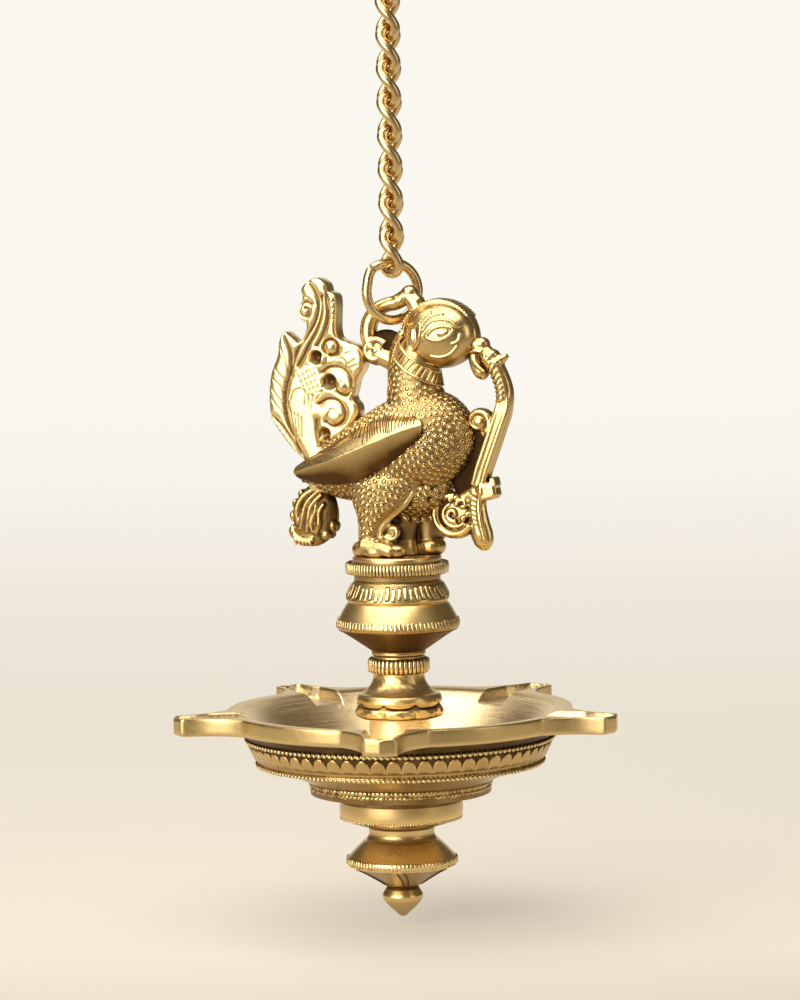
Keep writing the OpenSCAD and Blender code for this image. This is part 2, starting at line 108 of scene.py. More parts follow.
def brass(name, gold, brown, matt, lathe=0.0, smut=0.35, lumps=0.08):
    """Brass made brown by patina and painted shade, pale by rubbed edges and painted highlights, with turning
    marks where it was on the lathe.
    """
    metal = bpy.data.materials.new(name)
    metal.use_nodes = True
    tree = metal.node_tree
    shader = tree.nodes["Principled BSDF"]
    start = Tone(tree)
    place = start.node("ShaderNodeTexCoord", {}, {}, "Object")
    cloud = start.node("ShaderNodeTexNoise", {}, {"Vector": place, "Scale": CLOUDS, "Detail": 3.0})
    grit = start.node("ShaderNodeTexNoise", {}, {"Vector": place, "Scale": GRAINS, "Detail": 2.0})
    swell = start.node("ShaderNodeTexNoise", {}, {"Vector": place, "Scale": SWELLS, "Detail": 1.0})
    relief = start.node("ShaderNodeAttribute", {"attribute_name": "relief"}, {}, "Fac")
    # Below zero relief mixes in brown, for patina and painted shade; above zero pale, for rubbed wear and
    # painted highlights.
    hollow = ((cloud - 0.5) * smut * 2.0 - relief * (0.7 + cloud * 0.7)).held()
    edge = (relief * 0.9).held()
    marks, depth = grit, grit * 0.25
    if lathe:
        x, y, z = place.parts()
        across = (x * x + y * y) ** 0.5
        around = start.sum("ARCTAN2", y, x)
        ring = start.node("ShaderNodeCombineXYZ", {}, [
            across * TURNING_MARKS, z * TURNING_MARKS, around * 1.5 + cloud * 0.8])
        marks = start.node("ShaderNodeTexNoise", {}, {"Vector": ring, "Scale": 1.0, "Detail": 4.0}) * lathe \
            + grit * (1 - lathe)
        depth = marks * lathe
    dull, lively = ([min(1, c * share) for c in gold] + [1] for share in (0.80, 1.14))
    pale = [min(1, c * 1.12 + 0.04) for c in gold] + [1]
    body = edge.mix((cloud * 0.6 + marks * 0.4).mix(dull, lively), pale)
    body = hollow.mix(body, list(brown) + [1])
    rough = (marks - 0.5) * 0.16 + matt + hollow * 0.20 - edge * 0.06
    tree.links.new(body.out, shader.inputs["Base Color"])
    tree.links.new(rough.held(0.10, 0.9).out, shader.inputs["Roughness"])
    shader.inputs["Metallic"].default_value = 1.0
    bump = start.node("ShaderNodeBump", {}, {"Strength": 0.30, "Distance": 0.0003,
                                             "Height": depth * 0.30 + swell * lumps * 2.0})
    tree.links.new(bump.out, shader.inputs["Normal"])
    return metal


def smooth_line(points, steps, closed=False):
    """A curve through all the points."""
    p = np.array(points, float)
    n = len(p)
    out = []
    for i in range(n if closed else n - 1):
        a, b, c, d = (p[k % n] if closed else p[min(max(k, 0), n - 1)] for k in range(i - 1, i + 3))
        for t in np.arange(steps) / steps:
            out.append(0.5 * (2 * b + (c - a) * t + (2 * a - 5 * b + 4 * c - d) * t**2
                              + (3 * b - a - 3 * c + d) * t**3))
    return np.array(out if closed else out + [p[-1]])


def stack(rings, closed=False):
    """A closed shell through rings of points, with its ends drawn to a point."""
    rings = [np.asarray(r, float) for r in rings]
    m, k = len(rings[0]), len(rings)
    verts = [p for r in rings for p in r]
    faces = []
    for i in range(k if closed else k - 1):
        a, b = i * m, ((i + 1) % k) * m
        faces += [(a + j, b + j, b + (j + 1) % m, a + (j + 1) % m) for j in range(m)]
    if not closed:
        first, last = len(verts), len(verts) + 1
        verts += [rings[0].mean(0), rings[-1].mean(0)]
        faces += [(first, j, (j + 1) % m) for j in range(m)]
        faces += [(last, (k - 1) * m + (j + 1) % m, (k - 1) * m + j) for j in range(m)]
    return verts, faces


def rod(points, radii, sides=14, closed=False, flat=1.0, facing=(0, 1, 0)):
    """A round rod along a line of points. flat is its thickness along facing, as a share of its width."""
    p = np.asarray(points, float)
    n = len(p)
    radii = np.atleast_1d(radii)
    r = np.interp(np.linspace(0, 1, n), np.linspace(0, 1, len(radii)), radii)
    side = np.array(facing, float)
    rings = []
    for i in range(n):
        along = p[(i + 1) % n] - p[i - 1] if closed else p[min(i + 1, n - 1)] - p[max(i - 1, 0)]
        along = along / np.linalg.norm(along)
        deep = side - along * side.dot(along)
        deep = deep / np.linalg.norm(deep)
        wide = np.cross(deep, along)
        turn = np.arange(sides) * 2 * math.pi / sides
        rings.append([p[i] + r[i] * (math.cos(a) * wide + flat * math.sin(a) * deep) for a in turn])
    return stack(rings, closed)


def ball(centre, size, rows=12, sides=20):
    """A ball or egg of three half sizes."""
    turn = np.arange(sides) * 2 * math.pi / sides
    circle = np.column_stack([np.cos(turn), np.sin(turn), np.ones(sides)])
    return stack([np.array(centre) + np.array(size) * circle * (math.sin(a), math.sin(a), math.cos(a))
                  for a in math.pi * (np.arange(rows) + 0.35) / (rows - 0.3)])


def new_piece(name, verts=(), edges=(), faces=()):
    """A mesh object at the origin."""
    mesh = bpy.data.meshes.new(name)
    mesh.from_pydata(verts, edges, faces)
    piece = bpy.data.objects.new(name, mesh)
    bpy.context.scene.collection.objects.link(piece)
    return piece


def shape(name, verts, faces, z=0.0):
    """A piece with its place in its points, from millimetres."""
    piece = new_piece(name, (np.array(verts) + (0, 0, z)) * MM, faces=faces)
    piece.data.validate()
    return piece


def settle(piece):
    """Turns what the modifiers make into a plain mesh."""
    kept = bpy.data.meshes.new_from_object(piece.evaluated_get(bpy.context.evaluated_depsgraph_get()))
    piece.modifiers.clear()
    piece.data = kept
    return piece


def cast(name, shells, grain, soften, z=0.0):
    """Melts closed shells into one casting with soft joints."""
    verts, faces = [], []
    for points, polygons in shells:
        base = len(verts)
        verts += [tuple(p) for p in points]
        faces += [[base + i for i in f] for f in polygons]
    piece = new_piece(name, verts, faces=faces)
    melt = piece.modifiers.new("melt", "REMESH")
    melt.mode = "VOXEL"
    melt.voxel_size = grain
    rub = piece.modifiers.new("rub", "SMOOTH")
    rub.factor, rub.iterations = 0.5, soften
    settle(piece)
    piece.data.transform(Matrix.Scale(MM, 4) @ Matrix.Translation((0, 0, z)))
    return piece


def points_of(piece, what="co"):
    """The places or normals of a mesh's points."""
    flat = np.zeros(len(piece.data.vertices) * 3)
    piece.data.vertices.foreach_get(what, flat)
    return flat.reshape(-1, 3)


def blurred(piece, values, times, keep=0.4):
    """Values at the points of a mesh, each mixed with those next to it."""
    n = len(values)
    ends = np.zeros(len(piece.data.edges) * 2, int)
    piece.data.edges.foreach_get("vertices", ends)
    a, b = ends[0::2], ends[1::2]
    count = np.maximum(np.bincount(a, minlength=n) + np.bincount(b, minlength=n), 1)
    for _ in range(times):
        beside = (np.bincount(a, values[b], n) + np.bincount(b, values[a], n)) / count
        values = keep * values + (1 - keep) * beside
    return values


def add_relief(piece, values):
    """Adds to each point's tone: above zero pale, for rubbed wear and painted highlights, below zero brown, for
    patina and painted shade.
    """
    mark = piece.data.attributes.get("relief") or piece.data.attributes.new("relief", "FLOAT", "POINT")
    had = np.zeros(len(values))
    mark.data.foreach_get("value", had)
    mark.data.foreach_set("value", np.clip(had + values, -1, 1).astype(np.float32))
    return piece


def rubbed(piece, gain, reach):
    """Marks hollows below zero and edges above it, from how the surface bends."""
    co, normal = points_of(piece), points_of(piece, "normal")
    middle = np.stack([blurred(piece, co[:, k], 1, 0.0) for k in range(3)], 1)
    step = np.mean([(co[e.vertices[0]] - co[e.vertices[1]]) ** 2 for e in piece.data.edges[:4000]]) ** 0.5
    bend = -np.einsum("ij,ij->i", normal, middle - co) / (1.7 * step)
    return add_relief(piece, gain * blurred(piece, bend, reach))


def put(piece, body, metal, slot, *nodes):
    """Gives a finished piece its metal and its place on a body."""
    piece.data.materials.clear()
    piece.data.materials.append(metal)
    piece.data.shade_smooth()
    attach(piece, body)
    if nodes:
        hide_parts(*nodes)
    return piece


chain_brass = brass("chain_brass", (0.74, 0.535, 0.26), (0.16, 0.08, 0.026), matt=0.27, smut=0.25)
bore_way = np.array([math.cos(LINK_TURN), math.sin(LINK_TURN), 0])
eye_side = np.array([-math.sin(LINK_TURN), math.cos(LINK_TURN), 0])
turn = np.arange(64) * 2 * math.pi / 64
circle = np.outer(np.cos(turn), eye_side) + np.outer(np.sin(turn), (0, 0, 1))
half = EYE_THICK / 2
washer = [across * circle + deep * bore_way for across, deep in (
    (EYE_BORE_R, 0.4 - half), (EYE_BORE_R + 0.4, -half), (EYE_OUT_R - 0.7, -half), (EYE_OUT_R, 0.7 - half),
    (EYE_OUT_R, half - 0.7), (EYE_OUT_R - 0.7, half), (EYE_BORE_R + 0.4, half), (EYE_BORE_R, half - 0.4))]
loop = rod(EYE_LOOP_R * circle + (0, 0, EYE_LOOP_Z), EYE_WIRE_R, 16, True, 1, bore_way)
hanging_eye = cast("hanging_eye_cast", [stack(washer, True), loop], grain=0.3, soften=4)
put(rubbed(hanging_eye, gain=5, reach=3), "eye", chain_brass, "chain_brass", "hanging_eye")

# CHAIN
# Nine curb links, each a loop of 3 mm brass wire whose two bows are turned a quarter against each other.
# They hang in one another, and every link moves by itself.
LINK_COUNT, LINK_PITCH, LINK_WIRE_R = 9, 10.0, 1.5
LINK_FIRST_Z, LINK_HALF, LINK_WIDE = -20.85, 6.65, 3.4
LINK_FLAT = LINK_HALF - LINK_WIDE
LINK_SOFT = LINK_FLAT + 0.55 * LINK_WIDE


def bench(name, inputs):
    """An empty node tree that takes a piece and named sizes."""
    tree = bpy.data.node_groups.new(name, "GeometryNodeTree")
    tree.interface.new_socket("Piece", in_out="INPUT", socket_type="NodeSocketGeometry")
    for label, kind in inputs:
        tree.interface.new_socket(label, in_out="INPUT", socket_type="NodeSocket" + kind)
    tree.interface.new_socket("Piece", in_out="OUTPUT", socket_type="NodeSocketGeometry")
    start = tree.nodes.new("NodeGroupInput")
    return tree, {s.name: Tone(tree, s) for s in start.outputs if s.name}


def leave(tree, made, metal):
    """Ends a tree with real meshes in their metal."""
    made = made.node("GeometryNodeRealizeInstances", {}, {"Geometry": made})
    made = made.node("GeometryNodeSetMaterial", {}, {"Geometry": made, "Material": metal})
    end = tree.nodes.new("NodeGroupOutput")
    tree.links.new(made.out, end.inputs[0])


def worked(piece, tree, values):
    """Runs a tree on a piece and keeps the plain mesh."""
    step = piece.modifiers.new(tree.name, "NODES")
    step.node_group = tree
    known = {s.name: s.identifier for s in tree.interface.items_tree if s.in_out == "INPUT"}
    for label, value in values.items():
        step[known[label]] = value
    return settle(piece)


wire_tree, wire_in = bench("wire_bent_along_a_line", [
    ("Wire", "Float"), ("Sides", "Int"), ("Metal", "Material")])
wire_line = wire_in["Piece"].node("GeometryNodeMeshToCurve", {}, {"Mesh": wire_in["Piece"]})
wire_round = wire_line.node("GeometryNodeCurvePrimitiveCircle", {},
                            {"Resolution": wire_in["Sides"], "Radius": wire_in["Wire"]})
wire_made = wire_line.node("GeometryNodeCurveToMesh", {},
                           {"Curve": wire_line, "Profile Curve": wire_round, "Fill Caps": True})
leave(wire_tree, wire_made, wire_in["Metal"])


def wires(name, lines, radius, sides, metal, closed=False, z=0.0):
    """One mesh of wires bent along lines of points."""
    verts, edges = [], []
    for line in lines:
        base, n = len(verts), len(line)
        verts += [(p[0] * MM, p[1] * MM, (p[2] + z) * MM) for p in line]
        edges += [(base + i, base + (i + 1) % n) for i in range(n if closed else n - 1)]
    return worked(new_piece(name, verts, edges), wire_tree,
                  {"Wire": radius * MM, "Sides": sides, "Metal": metal})


def link_point(u, z):
    """A point of a link's middle line, at the share u of its way round."""
    bow = math.radians(600) * (u if u < 0.5 else u - 0.5)
    straight = 10 * LINK_FLAT * ((u if u < 0.5 else u - 0.5) - 0.3)
    reach, height = (LINK_WIDE * math.cos(bow), LINK_FLAT + LINK_WIDE * math.sin(bow)) if u % 0.5 < 0.3 else (
        -LINK_WIDE, LINK_FLAT - straight)
    if u >= 0.5:
        reach, height = -reach, -height
    part = min(1, max(0, (LINK_SOFT - height) / (2 * LINK_SOFT)))
    plane = LINK_TURN + math.pi / 4 * (1 - math.cos(math.pi * part))
    return reach * math.cos(plane), reach * math.sin(plane), z + height


for k in range(LINK_COUNT):
    path = [link_point(i / 96, LINK_FIRST_Z - k * LINK_PITCH) for i in range(96)]
    link = wires("chain_wire_%d" % (k + 1), [path], LINK_WIRE_R, 20, chain_brass, True)
    put(link, "link_%d" % (k + 1), chain_brass, "chain_brass", "chain_link_%d" % (k + 1))

# HANGING RING
# A jump ring bent from the same wire, with its butt joint left open at the upper left.
# It passes through the last link and under the loop behind the bird's head.
RING_Z, RING_R, RING_WIRE_R = -112.8, 8.6, 1.5
RING_TURN, RING_JOINT_AT, RING_JOINT, RING_CORNER, RING_STEPS = math.radians(50), 135, 4, 0.9, 120
path = []
for i in range(RING_STEPS + 1):
    a = math.radians(RING_JOINT_AT + RING_JOINT / 2 + (360 - RING_JOINT) * i / RING_STEPS)
    reach = RING_R + RING_CORNER * max(0, 1 - min(i, RING_STEPS - i) / 9)
    path.append((reach * math.cos(a) * math.cos(RING_TURN), reach * math.cos(a) * math.sin(RING_TURN),
                 RING_Z + reach * math.sin(a)))
ring = wires("jump_ring", [path], RING_WIRE_R, 24, chain_brass)
put(ring, "ring", chain_brass, "chain_brass", "hanging_ring")

# BIRD'S BODY
# Body, neck, thighs and feet are one brass casting, covered all over with small punched rings.
# Each thigh has a raised smooth edge, and a curl stands at the ankle.
LAMP_Z = -191.8
# Middle x and height, half height and half width of the body, from rump to breast.
BODY_ROWS = [(-30, 24.6, 2.4, 3), (-25, 25.2, 5.5, 6), (-18, 26.6, 9.5, 9.5), (-9, 29, 13, 12),
             (0, 31.4, 15.5, 13.2), (8, 33.4, 15.6, 13.6), (15, 34.8, 14.2, 12.4), (20, 35.4, 11.2, 9.6),
             (23.4, 35.4, 7.4, 6.4), (25.4, 35.2, 3.4, 3), (26, 35.2, 1.2, 1.2)]
# Middle x and height, half length and half width of the neck, from the shoulders up.
NECK_ROWS = [(9, 36.4, 10.8, 10.4), (8.2, 43, 9.8, 9.2), (7.0, 49.6, 8.4, 7.6), (6.8, 55.4, 7.6, 6.8),
             (8.2, 61, 7.2, 6.5), (10.5, 66, 6.2, 6)]
# Height, middle x, half length, middle y and half width of the thigh and shank, from the hip down.
NEAR_LEG = [(27, -1, 11.0, -6.2, 5.4), (23, -1, 11.6, -6.8, 5.8), (19.7, -1.4, 10.2, -7.1, 5.4),
            (15.5, -2.2, 8.0, -7.4, 4.7), (12.2, -3.6, 5.4, -7.5, 4.0), (9, -4.8, 3.8, -7.5, 3.4),
            (5.3, -5.4, 3.2, -7.4, 3.0), (2.4, -5.7, 3.2, -7.4, 3.0), (0.2, -5.8, 3.6, -7.4, 3.2)]
FAR_LEG = [(27, 5.0, 10.0, 5.4, 5.6), (22, 5.6, 9.6, 5.6, 5.6), (17, 6.6, 7.8, 5.6, 5.0),
           (13, 7.4, 6.0, 5.6, 4.4), (9, 7.8, 4.8, 5.6, 3.8), (5, 8.0, 4.1, 5.6, 3.6), (2, 7.8, 4.6, 5.6, 3.8),
           (0.2, 7.4, 5.3, 5.6, 4.1)]
BETWEEN_LEGS = [(17, 1.6, 9.0, 0.8, 6.4), (12, 1.0, 6.8, 1.0, 5.4), (7, 0.6, 5.4, 1.2, 4.8),
                (3, 0.6, 5.4, 1.2, 4.8), (0.2, 1.0, 6.2, 1.0, 5.4)]
THIGH_EDGES = [
    [(10.4, -7.4, 24.6), (9.0, -8.0, 19.7), (6.0, -8.2, 15.5), (2.0, -8.4, 12.2), (-0.8, -8.6, 9),
     (-1.6, -8.6, 5.6)],
    [(12.4, 8.0, 23.6), (13.4, 7.4, 18.4), (12.8, 6.9, 13.6), (12.0, 6.8, 9.0)]]
PUNCH_SPACING = 1.76
bird_brass = brass("bird_brass", (0.62, 0.42, 0.165), (0.085, 0.042, 0.013), matt=0.30, smut=0.22)
scale_brass = brass("scale_brass", (0.74, 0.52, 0.22), (0.11, 0.055, 0.017), matt=0.26, smut=0.20)


def oval(n):
    """Angles all the way round."""
    return np.arange(n) * 2 * math.pi / n


shells = [stack([[(s[0], s[3] * math.cos(a), s[1] + s[2] * math.sin(a)) for a in oval(48)]
                 for s in smooth_line(BODY_ROWS, 6)]),
          stack([[(s[0] + s[2] * math.cos(a), s[3] * math.sin(a), s[1]) for a in oval(40)]
                 for s in smooth_line(NECK_ROWS, 6)])]
for rows in (NEAR_LEG, FAR_LEG, BETWEEN_LEGS):
    shells.append(stack([[(s[1] + s[2] * math.cos(a), s[3] + s[4] * math.sin(a), s[0]) for a in -oval(32)]
                         for s in smooth_line(rows, 4)]))
shells.append(ball((6, 0.4, 21), (12, 9, 9.4)))
for x, y, toe, fan in ((-6, -7.6, 11.6, 3.2), (7.2, 6.0, 4.6, 2.4)):
    for spread in (-1, 0, 1):
        way = [(x - 1, y + 0.8 * spread, 3.4), (x + toe * 0.5, y + 0.7 * fan * spread, 2.7),
               (x + toe * (1 - 0.2 * abs(spread)), y + fan * spread, 1.2)]
        shells.append(rod(smooth_line(way, 6), [3.0, 2.6, 2.3, 1.4]))
    shells.append(ball((x - 1.2, y, 1.9), (3.6, 3.4, 2.6)))
shells += [ball(*egg) for egg in (
    ((1.6, -8.2, 1.9), (5.2, 3.4, 2.7)), ((-7.6, -8.0, 2.2), (3.4, 3.2, 2.8)),
    ((-2.6, -10.2, 1.5), (4.2, 1.9, 1.9)), ((8.8, 5.4, 2.4), (4.8, 4.4, 3.4)))]
for line in THIGH_EDGES:
    shells.append(rod(smooth_line(line, 8), [0.4, 0.8, 1.0, 1.1, 1.0], 12))
for x, y in ((2.6, -8.4), (12.0, 8.2)):
    shells.append(ball((x, y, 7.8), (2.2, 1.8, 2.3)))
    curl = [(x + r * math.cos(a), y + math.copysign(1.4, y), 7.8 + r * math.sin(a))
            for a, r in zip(np.linspace(3.6, 9.4, 28), np.linspace(2.6, 0.7, 28))]
    shells.append(rod(curl, [0.8, 0.5], 10))
    shells.append(rod([(x - 4.0, y, 4.8), (x - 1.6, y, 5.2), (x + 0.4, y, 6.0)], [1.2, 1.4, 1.2], 12))
bird_body = cast("bird_casting", shells, grain=0.36, soften=4, z=LAMP_Z)

co = points_of(bird_body) / MM - (0, 0, LAMP_Z)
at_x, at_y, at_z = co.T
bare = np.zeros(len(co), bool)
for line in THIGH_EDGES:
    for p in smooth_line(line, 6):
        bare |= np.linalg.norm(co - p, axis=1) < 1.8
shank = (at_z < 10) & ((at_x > -1.2) | (at_y > -4.5))
scaly = ((at_z > 5.0) & (at_z < 60) & ~bare & ~shank).astype(float)
collar_at = 57.6 - 0.62 * (at_x - 6.8)
scaly *= at_z < collar_at - 2.2
size = np.clip(1.06 - (at_z - 40) / 60, 0.88, 1.04)
# The ground between punch marks is brown patina, deepened by painted shade towards the breast and between the
# legs.
thigh = np.array(THIGH_EDGES[0])[::-1]
shade_behind_thigh = (at_x > np.interp(at_z, thigh[:, 2], thigh[:, 0]) + 0.9) & (at_z < 24) & (at_z > 4.6)
ground_patina_and_shade = 0.15 + 0.45 * np.clip((at_x + 1) / 12, 0, 1)
shade = -ground_patina_and_shade * scaly - 0.5 * shade_behind_thigh * (at_y > -8) * (at_y < 5.6)
for label, values in (("scaly", scaly), ("scale_size", size), ("relief", shade)):
    mark = bird_body.data.attributes.new(label, "FLOAT", "POINT")
    mark.data.foreach_set("value", values.astype(np.float32))

# Radius and height of one mark of the ring punch: a boss, the groove round it and the lip pushed up outside.
button_rows = [(0.02, 0.30), (0.45, 0.26), (0.61, 0.08), (0.75, 0.05), (0.91, 0.25), (1.04, 0.14),
               (1.14, -0.30)]
button = shape("punched_ring", *stack([[(r * math.cos(a), r * math.sin(a), h) for a in oval(10)]
                                       for r, h in button_rows]))
button_points = points_of(button)
# Each punch mark is painted: a highlight on its boss and lip, brown and painted shade in its groove and round
# its foot.
add_relief(button, np.interp(np.hypot(*button_points.T[:2]) / MM, [r for r, _ in button_rows[1:]],
                             (0.40, -0.9, -1.0, 0.12, -0.25, -0.8)))
button.data.shade_smooth()
skin_tree, skin_in = bench("punched_rings_over_the_body", [
    ("Ring", "Object"), ("Spacing", "Float"), ("Seed", "Int"), ("Metal", "Material")])
first = skin_in["Piece"]
factor = first.node("GeometryNodeInputNamedAttribute", {"data_type": "FLOAT"}, {"Name": "scaly"})
sized = first.node("GeometryNodeInputNamedAttribute", {"data_type": "FLOAT"}, {"Name": "scale_size"})
spots = skin_in["Piece"].tree.nodes.new("GeometryNodeDistributePointsOnFaces")
spots.distribute_method = "POISSON"
spots.use_legacy_normal = False
for socket, value in (("Mesh", first), ("Distance Min", skin_in["Spacing"]), ("Density Factor", factor),
                      ("Seed", skin_in["Seed"])):
    skin_tree.links.new(value.out, spots.inputs[socket])
spots.inputs["Density Max"].default_value = 9.0e6
one = first.node("GeometryNodeObjectInfo", {"transform_space": "ORIGINAL"}, {"Object": skin_in["Ring"]},
                 "Geometry")
vary = first.node("FunctionNodeRandomValue", {"data_type": "FLOAT"}, {2: 0.92, 3: 1.12, 8: 5}, 1)
laid = first.node("GeometryNodeInstanceOnPoints", {}, {
    "Points": Tone(skin_tree, spots.outputs["Points"]), "Instance": one,
    "Rotation": Tone(skin_tree, spots.outputs["Rotation"]), "Scale": vary * sized})
leave(skin_tree, laid, skin_in["Metal"])
scales = bpy.data.objects.new("punched_rings", bird_body.data.copy())
bpy.context.scene.collection.objects.link(scales)
worked(scales, skin_tree, {"Ring": button, "Spacing": PUNCH_SPACING * MM, "Seed": 11, "Metal": scale_brass})
bpy.data.objects.remove(button)
put(rubbed(bird_body, gain=5, reach=3), "lamp", bird_brass, "bird_brass", "bird_body")
put(scales, "lamp", scale_brass, "bird_brass")

# BIRD'S HEAD
# The head is smooth, with chased eyes, brows and cheeks. A ridged crest runs from the nape over the top
# to a cap on the beak, and a collar of slanted strokes goes round the neck.
HEAD = np.array([15.76, 0, 66.0])
HEAD_HALF = np.array([11.7, 9.0, 10.0])
head_brass = brass("head_brass", (0.73, 0.52, 0.225), (0.12, 0.06, 0.018), matt=0.27, smut=0.16)


def on_head(x, z, side, lift=0.0):
    """The point of the head's side at x and z from its middle."""
    left = max(0.02, 1 - (x / HEAD_HALF[0]) ** 2 - (z / HEAD_HALF[2]) ** 2)
    return HEAD + np.array([x, side * (HEAD_HALF[1] * math.sqrt(left) + lift), z])


def almond(x, z, long, high, tilt, steps=12):
    """An outline that is pointed at both ends."""
    line = []
    for t in np.linspace(0, 2 * math.pi, steps * 4, endpoint=False):
        u = math.cos(t) * long
        v = math.copysign(high * (1 - math.cos(t) ** 2) ** 0.75, math.sin(t))
        line.append((x + u * math.cos(tilt) - v * math.sin(tilt), z + u * math.sin(tilt) + v * math.cos(tilt)))
    return line


head_rings = [[HEAD + HEAD_HALF * (-math.cos(a), math.sin(a) * math.cos(t), math.sin(a) * math.sin(t))
               for t in oval(56)] for a in np.radians(np.linspace(3, 177, 40))]
shells = [stack(head_rings), ball(HEAD + np.array([10.4, 0, -4.2]), (2.4, 2.2, 2.8))]
for side in (-1, 1):
    lines = [(almond(2.6, 0.7, 4.1, 1.95, 0.26), 0.36, True), (almond(-6.0, -0.8, 4.8, 1.9, 1.1), 0.46, True)]
    for path in ([(-2.6, 1.4), (-0.6, 3.9), (2.4, 4.7), (5.6, 4.2), (8.0, 2.4)],
                 [(-3.2, 2.6), (-1.4, 5.0), (1.2, 6.2), (3.4, 6.3)], [(-3.8, 3.8), (-2.4, 5.7), (-0.4, 6.9)],
                 [(-1.0, -6.0), (2.2, -6.4), (5.2, -5.4), (7.6, -3.0)],
                 [(8.4, 0.4), (7.8, -1.6), (6.0, -2.6)],
                 [(-9.4, -3.2), (-7.6, -5.6), (-4.6, -7.8), (-1.0, -8.8)]):
        lines.append((smooth_line(path, 8), 0.36, False))
    for path, wide, closed in lines:
        shells.append(rod([on_head(p[0], p[1], side, 0.12) for p in path], wide, 10, closed, 1, (0, 0.3, 1)))
    shells.append(ball(on_head(2.6, 0.7, side, -0.7), (2.6, 0.95, 1.15)))
    shells.append(ball(on_head(-6.1, -0.7, side, -0.5), (1.5, 1.2, 3.2)))
crest = smooth_line([(-12.0, -2.0), (-11.5, 1.4), (-9.9, 4.8), (-7.0, 7.6), (-3.4, 9.3), (0, 9.8), (3.6, 9.2),
                     (7.0, 7.4), (9.5, 4.8), (10.9, 1.6), (11.2, -1.4), (10.5, -4.4)], 8)
crest_line = [HEAD + np.array([p[0], 0, p[1]]) for p in crest]
shells.append(rod(crest_line, [1.0, 1.1, 1.1, 1.0, 0.95, 0.9, 0.9], 16, False, 2.7))
for i in range(2, len(crest_line) - 26, 2):
    out = (crest_line[i] - HEAD) / np.linalg.norm(crest_line[i] - HEAD)
    strip = [crest_line[i] + out * (0.86 - 0.08 * y * y) + np.array([0.16 * y, y, 0])
             for y in np.linspace(-2.6, 2.6, 9)]
    shells.append(rod(strip, 0.44, 8, False, 1, out))
mane = smooth_line([(4.4, 67.2), (2.4, 64.4), (1.2, 61), (0.8, 57), (0.8, 52.8), (1.2, 49)], 8)
shells.append(rod([(p[0], 0, p[1]) for p in mane], [1.6, 2.1, 2.2, 2.0, 1.4], 16, False, 1.7))
for i in range(1, len(mane) - 3, 2):
    for y in (-1, 1):
        tuft = [(mane[i][0] - 2.1 + 0.16 * u * u, y * u, mane[i][1] - 0.45 * u) for u in (0, 1, 2, 3, 3.8)]
        shells.append(rod(tuft, [0.5, 0.5, 0.4], 8, False, 1, (1, 0, 0)))
bird_head = cast("bird_head", shells, grain=0.22, soften=2, z=LAMP_Z)
put(rubbed(bird_head, gain=6, reach=3), "lamp", head_brass, "bird_brass")


def on_neck(turn, z, lift):
    """The point of the neck at an angle and a height."""
    rows = np.array(NECK_ROWS)
    x, long, wide = (np.interp(z, rows[:, 1], rows[:, k]) for k in (0, 2, 3))
    return x + (long + lift) * math.cos(turn), (wide + lift) * math.sin(turn), z


def collar_z(turn):
    """The slanted collar's height at an angle."""
    return 57.6 - 4.6 * math.cos(turn)


rails = [[on_neck(t, collar_z(t) + up, 0.15) for t in oval(64)] for up in (-2.1, 2.0)]
collar_rails = wires("collar_rails", rails, 0.5, 10, head_brass, True, LAMP_Z)
strokes = [[on_neck(t + 0.09 * u, collar_z(t) + u, 0.0) for u in (-1.7, -0.6, 0.6, 1.7)] for t in oval(30)]
collar_strokes = wires("collar_strokes", strokes, 0.56, 8, scale_brass, False, LAMP_Z)
put(collar_rails, "lamp", head_brass, "bird_brass")
put(collar_strokes, "lamp", scale_brass, "bird_brass")

# WINGS
# A cast wing is let into each side of the body. Its lower face is filed smooth, and its upper rim is cut with
# short slanted strokes.
WING_TOP = [(12.5, -10.8, 41.0), (1.5, -10.4, 41.4), (-8, -10.2, 37.8), (-17, -9.8, 32.4), (-26, -10.2, 27.0)]
WING_RIDGE = [(15.4, -14.7, 39.8), (8, -17.2, 37.7), (0.9, -17.8, 34.9), (-12, -16.8, 30.0), (-21, -14.4, 27.3),
              (-28, -12, 25.3)]
WING_LOW = [(13.6, -12.2, 36.4), (6.2, -13.4, 30.6), (-0.8, -13.4, 26.4), (-9.5, -12.6, 23.0),
            (-19, -11.4, 22.6), (-26, -11.2, 24.0)]
wing_brass = brass("wing_brass", (0.66, 0.455, 0.19), (0.095, 0.048, 0.015), matt=0.31, smut=0.20)
# A near-black brass for painted shade: dark wires and thin sheets laid where cuts and gaps lie in shadow.
painted_shade_brass = brass("painted_shade_brass", (0.10, 0.05, 0.017), (0.04, 0.02, 0.008), matt=0.45)


def along(points, t):
    """The point at the share t of a line's length."""
    line = smooth_line(points, 16)
    return np.array([np.interp(t, np.linspace(0, 1, len(line)), line[:, k]) for k in range(3)])


def wing_rim(t, u):
    """A point of the rim between the upper edge, u 0, and the ridge, u 1."""
    top = along(WING_TOP, t) + np.array([0, -0.5, 0.7])
    ridge = along(WING_RIDGE, t) + np.array([0, -0.8, 0.3])
    return top * (1 - u) + ridge * u + math.sin(math.pi * u) * np.array([0, -0.7, 0.7])


def wing_face(t, u):
    """A point of the face between the ridge, u 0, and the lower edge, u 1."""
    ridge = along(WING_RIDGE, t) + np.array([0, -0.8, 0.0])
    low = along(WING_LOW, t) + np.array([0, -0.4, -0.8])
    return ridge * (1 - u) + low * u + math.sin(math.pi * u) * np.array([0, -0.5, -0.2])


